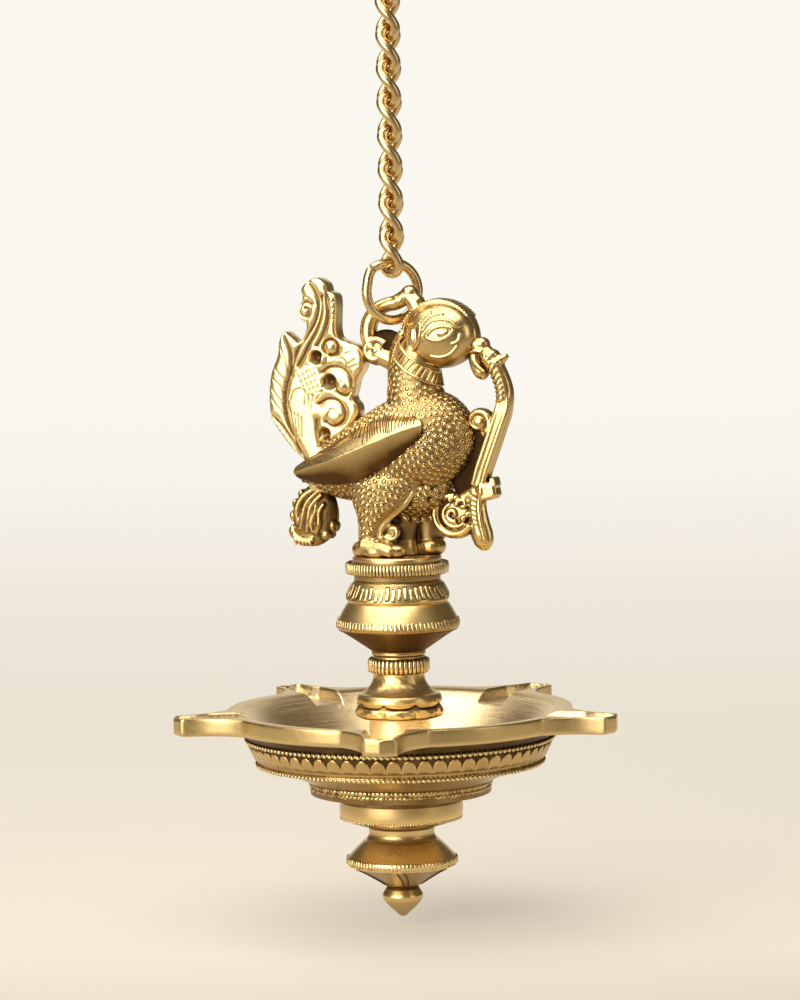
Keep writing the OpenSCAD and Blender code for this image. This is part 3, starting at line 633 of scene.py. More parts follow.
wings = []
for side, node in ((1, "right_wing"), (-1, "left_wing")):
    rings = []
    for t in np.linspace(0, 1, 60):
        ring_points = [along(WING_TOP, t) + np.array([0, 4.5, -2])]
        ring_points += [wing_rim(t, u) for u in np.linspace(0, 1, 9)]
        ring_points += [wing_face(t, u) for u in np.linspace(0.06, 1, 10)]
        ring_points += [along(WING_LOW, t) + np.array([0, 4.5, 1])]
        rings.append([p * (1, side, 1) for p in ring_points])
    verts, faces = stack(rings)
    if side < 0:
        faces = [f[::-1] for f in faces]
    wing = cast(node + "_casting", [(verts, faces)], grain=0.26, soften=3, z=LAMP_Z)
    co = points_of(wing) / MM - (0, 0, LAMP_Z)
    from_tip = np.linspace(1, 0, 80)
    ridge, low = (np.array([along(line, t) for t in from_tip]) for line in (WING_RIDGE, WING_LOW))
    ridge_z, low_z = (np.interp(co[:, 0], line[:, 0], line[:, 2]) for line in (ridge, low))
    # Painted light on the wing: a painted highlight over the rim, painted shade down the lower face and towards
    # the tip.
    below = np.clip((ridge_z - co[:, 2]) / np.maximum(ridge_z - low_z, 1), 0, 1)
    to_tip = np.clip((-co[:, 0] - 4) / 18, 0, 1)
    add_relief(wing, 0.45 * (below < 0.02) - 0.85 * below**1.2 - 0.25 * to_tip * (below > 0.06))
    wings.append(wing)
    put(rubbed(wing, gain=3, reach=4), "lamp", wing_brass, "bird_brass", node)
    # The strokes are thin dark wires laid on the rim: painted shade in the cuts.
    strokes = []
    for k in range(42):
        t = 0.03 + 0.90 * (k + 0.3 * math.sin(7.3 * k)) / 42
        far = 0.86 + 0.08 * math.sin(5.7 * k) if t < 0.42 else 0.50 + 0.12 * math.sin(5.7 * k)
        reach = np.linspace(0.08 + 0.06 * math.sin(3.1 * k), far, 6)
        strokes.append([(wing_rim(min(1, t + 0.05 * u), u) + (0, 0.02, -0.02)) * (1, side, 1) for u in reach])
    cuts = wires(node + "_strokes", strokes, 0.21, 8, painted_shade_brass, False, LAMP_Z)
    put(cuts, "lamp", painted_shade_brass, "bird_brass")

# TAIL PLUME
# A thick cast plate stands behind the bird, sawn to a scrolled outline and chased alike on both faces with
# fronds, a stem with a curl, a hatched bud and three volutes. Its lower end is a grooved curl.
TAIL_THICK = 7.5
# The outline, the deep cuts and the fine ones are lines of x and z. Pits and domes are x, z, radius and depth.
TAIL_EDGE = [
    (-18.6, 22), (-20, 18.6), (-26, 18.6), (-27.6, 21), (-27.4, 25), (-29.3, 28.8), (-32.6, 31.8), (-36.2, 36),
    (-39.4, 41), (-40, 46.4), (-39.8, 51.2), (-39, 55.2), (-37, 60), (-36.4, 64.4), (-34.8, 67.2),
    (-32.6, 66), (-29.8, 64), (-27.6, 67), (-27.4, 69.8), (-29.4, 71.2), (-30, 74), (-28.4, 77),
    (-28.8, 80), (-26.8, 82.2), (-23.6, 83.4), (-20.8, 81.8), (-19.8, 79.4), (-18, 78.6), (-17.2, 76),
    (-17.2, 66.4), (-13.6, 64.0), (-10.4, 62.8), (-8.8, 60.0), (-9.0, 56.4), (-11.0, 53.2), (-11.8, 50.2),
    (-12.5, 47.4), (-11.0, 45.2), (-10.8, 42.4), (-12.6, 39.0), (-15.6, 35.8), (-18.8, 33), (-18.4, 28)]
TAIL_DEEP = [
    [(-26.1, 82.2), (-24, 79.3), (-22.7, 76.2), (-23, 72.8), (-24.4, 69.3), (-26.9, 65.9), (-29.8, 62.1),
     (-31.5, 57.5), (-32.5, 54)],
    [(-21.7, 77.8), (-21.6, 74.3), (-22.3, 70.9), (-24, 67), (-26.1, 63.6), (-28.2, 59.8), (-30, 57.1)],
    [(-20, 78.5), (-20.3, 75.9), (-19.8, 73.2), (-20.3, 69.7), (-21.7, 66.3), (-23.6, 63.2)],
    [(-25.4, 75.6), (-26.8, 76.2), (-28.4, 75.5), (-29.0, 73.9), (-28.5, 72.4), (-27.1, 71.9), (-26.2, 72.8),
     (-26.3, 74.0), (-27.2, 74.4)],
    [(-34.6, 66.3), (-33.1, 63.2), (-32.2, 60.5), (-32.2, 57.5), (-32.9, 54), (-34, 50.2), (-34.4, 45.6),
     (-33.8, 41), (-32.3, 36.8), (-30.6, 33), (-28.4, 29.2)],
    [(-39.6, 42.2), (-36.5, 39.9), (-33.6, 36.4), (-30.6, 32.2), (-28.9, 28.8)],
    [(-21.9, 55.2), (-19.4, 56.6), (-15.7, 56.3), (-13, 53.8), (-12.3, 50.2), (-14.2, 48.1), (-16.7, 48.8),
     (-17.8, 50.4)],
    [(-23.1, 45.6), (-20.3, 47), (-16.9, 46.4), (-14.8, 43.3), (-15.6, 40.3), (-18.6, 38.9), (-20.9, 40.1)],
    [(-21, 61.3), (-21.4, 62.8), (-20.7, 64.4), (-19, 64.9), (-17.3, 64.2), (-16.7, 62.5), (-17.3, 60.7),
     (-19, 60.2)],
    [(-24.1, 40.6), (-23.8, 36.4), (-23.1, 32.6)]]
TAIL_FINE = [
    [(-19.4, 74.7), (-17.8, 76.6)], [(-19.5, 72.8), (-17.8, 74.7)], [(-19.8, 70.9), (-17.9, 72.8)],
    [(-20.2, 69.3), (-18.3, 70.9)], [(-19.5, 76.6), (-18.2, 78.1)], [(-26.5, 80.4), (-24.8, 78.5)],
    [(-28.4, 78), (-26.5, 77.6), (-24.8, 76.4), (-23.9, 74.9)], [(-35.8, 62.8), (-34.2, 59), (-32.9, 54.8)],
    [(-38.1, 56.7), (-35.4, 53.7), (-33.5, 52.1)], [(-39.2, 53.7), (-36.5, 51.4), (-34.4, 48.7)],
    [(-39.9, 51.7), (-37.1, 47.9), (-34.6, 45.2)], [(-39.7, 48.3), (-36.9, 44.5), (-34.2, 42.2)],
    [(-39.2, 40.6), (-37.1, 40.1)], [(-38.8, 39.3), (-36.3, 38.5)], [(-38.1, 38), (-35.4, 37.2)],
    [(-37.3, 36.6), (-34.6, 35.9)], [(-36.5, 35.3), (-33.8, 34.5)], [(-35.4, 34), (-32.7, 33.2)],
    [(-30.9, 55.6), (-28.6, 57.1), (-25.2, 57), (-22.7, 55.2), (-21.7, 52.1), (-22.3, 49.1), (-23.8, 47)],
    [(-32.6, 47), (-31.9, 48.7), (-30, 50), (-28.2, 49.6), (-27.9, 47.5), (-28.2, 45.2)],
    [(-26.5, 48.5), (-26.7, 44.3)], [(-31.4, 42.6), (-30.8, 35.7)], [(-30.3, 42.2), (-30, 34.7)],
    [(-29.1, 41.4), (-29.2, 35.5)], [(-32.9, 43.9), (-31.4, 36.1)], [(-25.2, 48.1), (-26.1, 43.7)],
    [(-15.7, 52.1), (-14.6, 51.4), (-14.6, 49.8)],
    [(-20.6, 42.4), (-19.4, 43.9), (-17.8, 43.7), (-16.8, 42.6)],
    [(-18.1, 58.1), (-15.7, 59.3), (-14.1, 57.7), (-14.6, 55.6)], [(-13.5, 57.4), (-11.1, 58.9)],
    [(-13.1, 56.3), (-10.4, 57.2)], [(-14.4, 60.5), (-11.9, 61.3)], [(-15.7, 62.1), (-14.4, 63.6)]]
TAIL_HATCH = []
for k in range(5):
    TAIL_HATCH.append([(-30.4 + 1.5 * k, 55.0 + 0.5 * k - 0.14 * k * k), (-26.6 + 1.1 * k, 46.8 + 1.1 * k)])
    TAIL_HATCH.append([(-30.2 + 0.9 * k, 53.4 - 1.4 * k), (-24.8 + 0.7 * k, 56.2 - 1.7 * k)])
TAIL_PITS = [(-24, 59.4, 1.9, 2.6), (-19.8, 52.1, 2.1, 2.8), (-21.7, 36.4, 1.8, 2.6), (-21.2, 33.6, 1.8, 2.4)]
TAIL_DOMES = [(-19.1, 62.5, 2.1, 0.9), (-21.7, 59, 1.3, 0.9), (-15.6, 50.6, 1.6, 0.8), (-18.6, 41.4, 2.6, 0.5)]
tail_brass = brass("tail_brass", (0.80, 0.61, 0.29), (0.15, 0.076, 0.025), matt=0.35, smut=0.12)
curl_brass = brass("curl_brass", (0.64, 0.42, 0.155), (0.075, 0.036, 0.011), matt=0.29, smut=0.40)


def flat_line(line, y=0.0):
    """A line of x and z, laid at a depth y."""
    return [(p[0], y, p[1]) for p in line]


def gap_to(points, line):
    """The distance from each point to a line of points."""
    line = np.asarray(line, float)
    best = np.full(len(points), 1e9)
    for a, b in zip(line[:-1], line[1:]):
        way = b - a
        t = np.clip(((points - a) @ way) / max(way @ way, 1e-9), 0, 1)
        best = np.minimum(best, np.linalg.norm(points - a - t[:, None] * way, axis=1))
    return best


def inside(points, edge):
    """Tells which points lie inside an outline."""
    x, y = points[:, 0], points[:, 1]
    hit = np.zeros(len(points), bool)
    for (ax, ay), (bx, by) in zip(edge, np.roll(edge, -1, 0)):
        if ay != by:
            hit ^= ((ay > y) != (by > y)) & (x < (bx - ax) * (y - ay) / (by - ay) + ax)
    return hit


def chased(name, edge, thick, step, deep, fine, hatch, pits, domes, round_off):
    """A thick plate of an outline, with cut lines, pits and domes on both faces."""
    low, high = edge.min(0), edge.max(0)
    gx = np.arange(low[0], high[0], step)
    gz = np.arange(low[1], high[1], step * 0.866)
    grid = np.array([(x + (k % 2) * step / 2, z) for k, z in enumerate(gz) for x in gx])
    shut = np.vstack([edge, edge[:1]])
    grid = grid[inside(grid, edge)]
    grid = grid[gap_to(grid, shut) > step * 0.6]
    every = np.vstack([edge, grid])
    m = len(edge)
    round_it = [(i, (i + 1) % m) for i in range(m)]
    flat, _, tris, *_ = delaunay_2d_cdt([Vector(p) for p in every], round_it, [], 1, 1e-6)
    pts = np.array([(p.x, p.y) for p in flat])
    d = gap_to(pts, shut)
    height = -(round_off - np.sqrt(np.maximum(0, round_off**2 - np.maximum(0, round_off - d) ** 2)))
    near = d
    for line in deep:
        gap = gap_to(pts, smooth_line(line, 5))
        near = np.minimum(near, gap)
        height -= 0.40 * np.exp(-(gap / 0.40) ** 2)
    height -= 0.65 * np.exp(-(near / 1.2) ** 1.6)
    for lines, cut, wide in ((fine, 0.18, 0.28), (hatch, 0.10, 0.25)):
        for line in lines:
            height -= cut * np.exp(-(gap_to(pts, smooth_line(line, 4)) / wide) ** 2)
    for x, z, r, depth in pits:
        height -= depth * np.clip(1.25 - np.hypot(*(pts - (x, z)).T) / r, 0, 1) ** 0.7
    for x, z, r, rise in domes:
        height += rise * np.sqrt(np.clip(1 - (np.hypot(*(pts - (x, z)).T) / r) ** 2, 0, 1))
    height = np.maximum(height, -thick / 2 + 0.6)
    n = len(pts)
    verts = [(p[0], -(thick / 2 + h), p[1]) for p, h in zip(pts, height)]
    verts += [(p[0], thick / 2 + h, p[1]) for p, h in zip(pts, height)]
    area = sum((pts[t[1]][0] - pts[t[0]][0]) * (pts[t[2]][1] - pts[t[0]][1])
               - (pts[t[2]][0] - pts[t[0]][0]) * (pts[t[1]][1] - pts[t[0]][1]) for t in tris)
    tris = [tuple(t) if area > 0 else tuple(t[::-1]) for t in tris]
    faces = list(tris) + [tuple(n + i for i in t[::-1]) for t in tris]
    edges = dict.fromkeys((a, b) for t in tris for a, b in zip(t, t[1:] + t[:1]))
    faces += [(b, a, n + a, n + b) for a, b in edges if (b, a) not in edges]
    return shape(name, verts, faces, LAMP_Z)


tail = chased("tail_plate", smooth_line(TAIL_EDGE, 8, True), TAIL_THICK, 0.30, TAIL_DEEP, TAIL_FINE, TAIL_HATCH,
              TAIL_PITS, TAIL_DOMES, 0.9)
# Painted shade on the plate's narrow edge faces.
add_relief(tail, np.where(np.abs(points_of(tail, "normal")[:, 1]) < 0.35, -0.55, 0.0))
put(rubbed(tail, gain=8, reach=2), "lamp", tail_brass, "bird_brass", "tail_plume")
# Height, middle x, half width and half depth of the curl, from the tail down.
CURL_ROWS = [(22, -23.6, 3.0, 2.4), (19, -25.4, 4.8, 3.0), (15.6, -26.0, 6.6, 3.4), (12, -26.0, 7.2, 3.4),
             (8.6, -26.4, 7.2, 3.2), (5.6, -27.2, 6.4, 3.0), (3.2, -28.2, 4.6, 2.6), (2.2, -28.6, 2.6, 1.8)]
shells = [stack([[(s[1] + s[2] * math.cos(a), s[3] * math.sin(a), s[0]) for a in -oval(32)]
                 for s in smooth_line(CURL_ROWS, 4)])]
for side in (-1, 1):
    for deep, wide, line in (
            (2.3, 1.1, [(-24.4, 20.4), (-29.4, 17.4), (-31.6, 13.4), (-31.0, 9.0)]),
            (2.9, 0.8, [(-23.6, 19.6), (-28.0, 15.6), (-29.6, 11.0), (-30.4, 7.4)]),
            (3.2, 0.9, [(-23.0, 18.2), (-26.4, 14.8), (-27.4, 11.4), (-28.2, 6.6)]),
            (3.2, 0.6, [(-24.6, 16.6), (-25.2, 13.4), (-26.6, 9.4), (-26.2, 6.6)]),
            (3.0, 0.8, [(-22.4, 15.4), (-24.0, 12.8), (-24.2, 9.0), (-25.4, 6.0)]),
            (2.5, 1.2, [(-33.0, 6.4), (-31.0, 4.6), (-28.6, 3.8), (-26.2, 4.6)])):
        frond = flat_line(smooth_line(line, 6), side * deep)
        shells.append(rod(frond, [wide * 0.7, wide, wide, wide * 0.7], 12))
    for x, z, wide in ((-32.4, 15.0, 1.2), (-33.2, 11.4, 1.3), (-33.4, 6.6, 1.5), (-30.4, 18.0, 1.1),
                       (-20.2, 8.4, 1.3)):
        shells.append(ball((x, side * 1.0, z), (wide, 1.8, wide * 1.4)))
    for k in range(5):
        x = -32.4 + 1.2 * k
        tuft = [(x, side * 3.2, 5.8 - 0.4 * k), (x + 0.5, side * 3.5, 4.2 - 0.2 * k),
                (x + 0.6, side * 2.8, 2.6)]
        shells.append(rod(tuft, [0.35, 0.5, 0.35], 8))
    shells.append(ball((-22.4, side * 2.3, 5.8), (1.6, 1.2, 1.5)))
tail_curl = cast("tail_curl", shells, grain=0.25, soften=2, z=LAMP_Z)
# Painted shade: the curl is darkened all over and most on its side towards the bird, with its outer tufts
# lighter.
co = points_of(tail_curl) / MM - (0, 0, LAMP_Z)
add_relief(tail_curl, -0.25 - 0.5 * np.clip((co[:, 0] + 26.0) / 3.5, 0, 1) + 0.15 * (np.abs(co[:, 1]) > 3.4))
put(rubbed(tail_curl, gain=9, reach=3), "lamp", curl_brass, "bird_brass")

# BEAK VINE
# A cast vine hangs from the beak in a long bow. It carries a leaf and a knob near the beak, a scroll on the
# chest, a second knob, a big scroll under the breast and a long leaf at its end.
VINE_LINE = [(24, 64.4), (27, 63), (29.6, 60.8), (32, 58), (34.3, 53.6), (35.6, 49), (35.2, 44), (33.0, 38),
             (30.6, 31.6), (28.4, 25.8), (27, 21)]
vine_brass = brass("vine_brass", (0.72, 0.51, 0.21), (0.12, 0.06, 0.018), matt=0.28, smut=0.22)


def spiral(x, z, r0, r1, a0, a1, y, steps=40):
    """A flat coil, from one radius and angle to the other."""
    return [(x + r * math.cos(a), y, z + r * math.sin(a))
            for a, r in zip(np.linspace(a0, a1, steps), np.linspace(r0, r1, steps))]


def block(x, z, tilt, wide, high, deep):
    """A block with its corners filed off."""
    c, s = math.cos(tilt), math.sin(tilt)
    ring = [(-0.5, -0.32), (-0.32, -0.5), (0.32, -0.5), (0.5, -0.32),
            (0.5, 0.32), (0.32, 0.5), (-0.32, 0.5), (-0.5, 0.32)]
    return stack([[(x + c * u * wide * k - s * v * high * k, y, z + s * u * wide * k + c * v * high * k)
                   for u, v in ring]
                  for y, k in ((-deep, 0.74), (-deep * 0.72, 1), (deep * 0.72, 1), (deep, 0.74))])


stem = smooth_line(VINE_LINE, 6)
stem_way = np.gradient(stem, axis=0)
stem_way /= np.linalg.norm(stem_way, axis=1)[:, None]
leaf = smooth_line([(27, 21), (26.2, 15.4), (26.8, 9.8), (28.0, 5.2), (28.6, 1.8)], 8)
shells = [rod(flat_line(stem), [2.6, 2.5, 2.4, 2.5, 2.6, 2.7, 2.7, 2.6, 2.5, 2.4, 2.5], 20),
          rod(flat_line(leaf), [2.4, 2.8, 3.0, 3.3, 3.5, 3.0, 0.8], 18, False, 0.75),
          block(29.8, 19.6, 0.18, 6.6, 5.4, 2.8), block(32.0, 22.2, 0.18, 2.0, 3.4, 2.5)]
for line, thick, sides, flat in (
        (smooth_line([(26.2, 62.4), (26.4, 58.6), (27.8, 55.4), (30.0, 53.8)], 6), [1.6, 2.0, 2.2, 2.3, 1.5],
         16, 1.05),
        (smooth_line([(32.4, 58.4), (34.8, 58.8), (36.6, 59.8)], 5), [1.9, 1.5, 0.7], 12, 1.2),
        ([(33.2, 39.6), (30.6, 37.6), (28.4, 36.4)], [2.0, 1.8, 1.5], 14, 1.1),
        ([(23.6, 8.9), (25.6, 10.6), (27, 13)], [1.7, 1.9, 1.9], 14, 1.0),
        ([(21.6, 17.4), (24.6, 18.8), (27, 20.4)], [1.9, 2.2, 2.3], 14, 1.0),
        ([(17.4, 17.8), (15.4, 19.8), (14.2, 22.4)], [1.8, 2.1, 2.0], 14, 1.0)):
    shells.append(rod(flat_line(line), thick, sides, False, flat))
for coil, thick, sides, flat in (
        ((27.5, 40.2, 3.9, 1.3, -0.9, 6.2), [1.35, 1.25, 1.0, 0.7], 12, 2.1),
        ((18.9, 12.8, 5.4, 6.4, 1.5, 5.75), [1.3, 1.5, 1.45, 1.5, 1.7], 14, 1.7),
        ((19.2, 12.9, 3.0, 4.3, 2.0, 5.6), [0.7, 0.85, 0.9], 10, 2.4)):
    shells.append(rod(spiral(*coil, 0), thick, sides, False, flat))
shells += [ball(*egg) for egg in (
    ((31.6, 0, 60.0), (2.5, 2.8, 1.9)), ((33.2, 0, 57.8), (2.4, 2.9, 1.9)), ((28.4, 0, 63.2), (2.6, 2.6, 2.2)),
    ((27.5, 0, 40.2), (2.6, 2.2, 2.6)), ((19.2, 0, 13.4), (5.2, 1.3, 5.4)))]
for y in (-1, 1):
    for line, thick in (([(27.6, 2.2, 17.4), (28.4, 2.9, 19.4), (28.2, 2.3, 21.8)], 0.55),
                        ([(25.0, 2.2, 60.8), (27.4, 2.6, 61.4), (29.4, 2.7, 61.0)], [0.4, 0.6, 0.5]),
                        ([(26.6, 2.1, 58.2), (28.2, 2.3, 56.6), (30.2, 2.2, 55.0)], [0.4, 0.6, 0.4])):
        shells.append(rod(np.array(line) * (1, y, 1), thick, 8))
    for i in range(14, 34, 2):
        (px, pz), (wx, wz) = stem[i], stem_way[i]
        line = [(px + wz * u + wx * 0.5 * u, y * math.sqrt(7.4 - u * u), pz - wx * u + wz * 0.5 * u)
                for u in (-0.2, 0.7, 1.5, 2.2)]
        shells.append(rod(line, [0.5, 0.6, 0.55, 0.45], 8))
    for off in (-1.35, 1.35):
        strip = [(p[0] + w[1] * off, y * 1.75, p[1] - w[0] * off) for p, w in zip(stem[30:], stem_way[30:])]
        shells.append(rod(strip, [0.5, 1.05, 1.1, 1.1, 1.0], 12))
    shells.append(rod(spiral(19.0, 12.6, 2.2, 0.5, 5.2, -0.6, y * 1.7, 30), [0.8, 0.6], 10))
    shells.append(rod(spiral(22.0, 15.6, 1.8, 0.5, 3.4, -2.4, y * 1.8, 24), [0.75, 0.55], 10))
    for u, v in ((18.2, 17.0), (20.0, 17.6), (23.6, 12.6), (22.2, 11.4)):
        shells.append(ball((u, y * 1.7, v), (1.0, 0.9, 0.9), 8, 12))
    shells.append(rod([(p[0] + 1.3, y * 2.1, p[1]) for p in leaf[3:-7]], [0.6, 0.9, 0.6], 10))
    for px, pz in leaf[4:18:2]:
        vein = [(px + 0.8, y * 2.1, pz), (px - 0.8, y * 2.1, pz + 0.5), (px - 2.3, y * 1.5, pz + 1.4)]
        shells.append(rod(vein, [0.5, 0.6, 0.4], 8))
vine = cast("vine_casting", shells, grain=0.25, soften=2, z=LAMP_Z)
put(rubbed(vine, gain=6, reach=3), "lamp", vine_brass, "bird_brass", "beak_vine")


def dark_web(name, *eggs):
    """A thin dark sheet between the scrolls: painted shade where the gap lies in shadow."""
    web = cast(name, [ball(*egg) for egg in eggs], grain=0.3, soften=3, z=LAMP_Z)
    add_relief(web, -np.ones(len(web.data.vertices)))
    put(web, "lamp", painted_shade_brass, "bird_brass")


# Painted shade in the gap between the vine and the breast.
dark_web("vine_web", ((26.2, 0, 30.5), (4.6, 1.0, 9.5)), ((23.4, 0, 23.4), (5.4, 1.0, 6.6)))

# CREST LOOP
# The loop behind the head that carries the whole lamp: a volute on the nape, a thick bar over the jump ring
# and a split knob on the crest. It is brazed to the head and the tail.
LOOP_Z = 75.09
loop_line = smooth_line([(-6.4, 62), (-7.9, 65.8), (-7.4, 70.0), (-4.8, 73.6), (-1.6, LOOP_Z),
                         (1.4, LOOP_Z + 0.7), (4.8, LOOP_Z + 2.8)], 6)
shells = []
for line, thick, sides, flat in (
        (loop_line, [2.5, 2.6, 2.6, 2.35, 2.2, 2.3, 2.2], 20, 1.08),
        ([(4.6, LOOP_Z + 3.4), (7.4, LOOP_Z + 0.6), (9.8, LOOP_Z - 4.4)], [2.4, 2.9, 2.9], 18, 0.95),
        ([(-9.0, 60.6), (-5, 60.4), (-1.6, 59), (1.4, 57.4)], [2.6, 3.0, 3.2, 3.0], 16, 0.9)):
    shells.append(rod(flat_line(line), thick, sides, False, flat))
shells += [ball(*egg) for egg in (
    ((2.4, 0, LOOP_Z + 1.2), (2.9, 2.6, 2.2)), ((5.6, 0, LOOP_Z + 3.6), (2.6, 2.5, 2.2)),
    ((4.8, 0, LOOP_Z + 2.6), (2.3, 2.2, 2.2)), ((-5.2, 0, 61.2), (4.4, 2.3, 4.4)))]
for y in (-1, 1):
    shells.append(rod(spiral(-5.2, 61.2, 4.0, 1.3, 0.6, 7.4, y * 1.85), [1.0, 0.9, 0.65], 12))
    shells.append(ball((-5.0, y * 1.9, 61.3), (1.2, 1.0, 1.2)))
crest_loop = cast("crest_loop_casting", shells, grain=0.24, soften=2, z=LAMP_Z)
put(rubbed(crest_loop, gain=6, reach=3), "lamp", vine_brass, "bird_brass", "crest_loop")
# Painted shade in the gap behind the nape.
dark_web("nape_web", ((-2.2, 0, 62.7), (6.2, 1.9, 5.1)))

# PLINTH AND SKIRT COLLAR
# Two turned brass rings under the bird's feet. The plinth's ring and the collar's skirt are filed all round
# into upright ridges, and the metal between the ridges is painted dark, painted shade in the gaps.
PLINTH_R, PLINTH_BEAD_R, PLINTH_NECK_R, SKIRT_R = 13.4, 15.5, 13.0, 15.7
SKIRT_Z, BULB_Z, ROD_BORE_R = -7.3, -13.7, 4.06
turned_brass = brass("turned_brass", (0.77, 0.55, 0.235), (0.12, 0.06, 0.018), matt=0.34, lathe=0.85, smut=0.16,
                     lumps=0.12)
ridge_brass = brass("ridge_brass", (0.80, 0.595, 0.275), (0.15, 0.078, 0.024), matt=0.27, smut=0.18)


def bulge(r0, r1, z0, z1, out, n=10):
    """The profile of a round bead."""
    return [(r0 + (r1 - r0) * i / n + out * math.sqrt(math.sin(math.pi * i / n)), z0 + (z1 - z0) * i / n)
            for i in range(n + 1)]


def sweep(r0, r1, z0, z1, power, n=10):
    """The profile of a cone, curved by power."""
    return [(r0 + (r1 - r0) * (i / n) ** power, z0 + (z1 - z0) * i / n) for i in range(n + 1)]


def eased(line, radius, steps=3):
    """A profile with its corners rounded off."""
    line = [np.array(p, float) for p in line]
    out = [line[0]]
    for a, b, c in zip(line, line[1:], line[2:]):
        u, v = a - b, c - b
        lu, lv = np.linalg.norm(u), np.linalg.norm(v)
        if min(lu, lv) < 1e-6:
            continue
        cut = min(radius, 0.45 * lu, 0.45 * lv)
        p, q = b + u / lu * cut, b + v / lv * cut
        out += [(1 - t) ** 2 * p + 2 * t * (1 - t) * b + t * t * q for t in np.linspace(0, 1, steps + 1)]
    return out + [line[-1]]


def turned(name, profile, bore, painted_light_bands=(), lobes=None, sides=160):
    """A solid turned from a profile, bored for the rod where bore is a radius; bands hold painted shade or
    highlight.
    """
    line = eased(profile, 0.45)
    if bore:
        line = [np.array((bore, line[0][1]))] + line + [np.array((bore, line[-1][1]))]
    rings = []
    for r, z in line:
        ring_points = []
        for a in -oval(sides):
            out, up = lobes(a, z) if lobes and r > 5 else (0, 0)
            ring_points.append(((r + out) * math.cos(a), (r + out) * math.sin(a), z + up))
        rings.append(ring_points)
    verts, faces = stack(rings[::-1], bool(bore))
    piece = shape(name, verts, [f[::-1] for f in faces], LAMP_Z)
    height = np.array([v[2] for v in verts])
    dark = np.zeros(len(verts))
    for low, high, tone in painted_light_bands:
        dark[(height > low) & (height < high)] = tone
    return add_relief(piece, dark)


def turned_out(piece):
    """Faces outward, whatever way its profile was drawn."""
    work = bmesh.new()
    work.from_mesh(piece.data)
    bmesh.ops.remove_doubles(work, verts=work.verts, dist=1e-7)
    bmesh.ops.recalc_face_normals(work, faces=work.faces)
    work.to_mesh(piece.data)
    work.free()
    return piece


def small_form(name, rings, out, tones):
    """A shape one unit across that is set many times over, with painted shade at its foot and a highlight where
    it stands out.
    """
    made = shape(name, *stack(rings))
    made.data.transform(Matrix.Scale(1 / MM, 4))
    add_relief(made, np.interp(points_of(made)[:, 0], out, tones))
    made.data.shade_smooth()
    return made


ridge_plan = [(-0.5, -0.5), (0.2, -0.5), (0.40, -0.43), (0.5, -0.24), (0.5, 0.24), (0.40, 0.43), (0.2, 0.5),
              (-0.5, 0.5)]
ridge_rows = [(-0.5, 0.4, 0.7), (-0.44, 0.84, 0.94), (-0.28, 1, 1), (0.28, 1, 1), (0.44, 0.84, 0.9),
              (0.5, 0.4, 0.62)]
# Painted shade in the gaps between ridges, and a painted highlight on their crowns.
ridge_pod = small_form("ridge_pod", [[((u + 0.5) * deep - 0.5, v * wide, h) for u, v in ridge_plan]
                                     for h, deep, wide in ridge_rows],
                       (0.0, 0.22, 0.42, 0.5), (-1.0, -0.8, 0.0, 0.35))
round_tree, round_in = bench("shapes_set_round_the_axis", [
    ("Shape", "Object"), ("Count", "Int"), ("Radius", "Float"), ("Height", "Float"), ("Size", "Vector"),
    ("Lean", "Float"), ("Tilt", "Float"), ("Sway", "Float"), ("Uneven", "Float"), ("Slip", "Float"),
    ("Seed", "Int"), ("Metal", "Material")])
first = round_in["Piece"]
slid, wander, grown = (
    first.node("FunctionNodeRandomValue", {"data_type": "FLOAT"},
               {2: -1.0, 3: 1.0, 8: round_in["Seed"] + more}, 1) for more in (13, 0, 7))
hoop = first.node("GeometryNodeMeshCircle", {}, {"Vertices": round_in["Count"], "Radius": round_in["Radius"]})
lift = first.node("ShaderNodeCombineXYZ", {}, [0.0, 0.0, slid * round_in["Slip"] + round_in["Height"]])
hoop = first.node("GeometryNodeSetPosition", {}, {"Geometry": hoop, "Offset": lift})
x, y, _ = first.node("GeometryNodeInputPosition", {}, {}).parts()
facing = first.sum("ARCTAN2", y, x)
aim = first.node("ShaderNodeCombineXYZ", {}, [
    wander * round_in["Sway"] + round_in["Tilt"], round_in["Lean"], facing])
big = first.node("ShaderNodeVectorMath", {"operation": "SCALE"},
                 {0: round_in["Size"], "Scale": grown * round_in["Uneven"] + 1.0})
one = first.node("GeometryNodeObjectInfo", {"transform_space": "ORIGINAL"}, {"Object": round_in["Shape"]},
                 "Geometry")
turned_aim = first.node("FunctionNodeEulerToRotation", {}, {"Euler": aim})
set_round = first.node("GeometryNodeInstanceOnPoints", {}, {
    "Points": hoop, "Instance": one, "Rotation": turned_aim, "Scale": big})
leave(round_tree, set_round, round_in["Metal"])


def set_round_axis(name, form, count, radius, z, size, seed, lean=0.0, tilt=0.0, sway=0.0, uneven=0.0, slip=0.0,
                   metal=ridge_brass, body="lamp"):
    """Sets copies of a form round the lamp's axis."""
    piece = worked(new_piece(name), round_tree, {
        "Shape": form, "Count": count, "Radius": radius * MM, "Height": (z + LAMP_Z) * MM,
        "Size": [s * MM for s in size], "Lean": lean, "Tilt": tilt, "Sway": sway, "Uneven": uneven,
        "Slip": slip * MM, "Seed": seed, "Metal": metal})
    return put(piece, body, metal, "turned_brass")


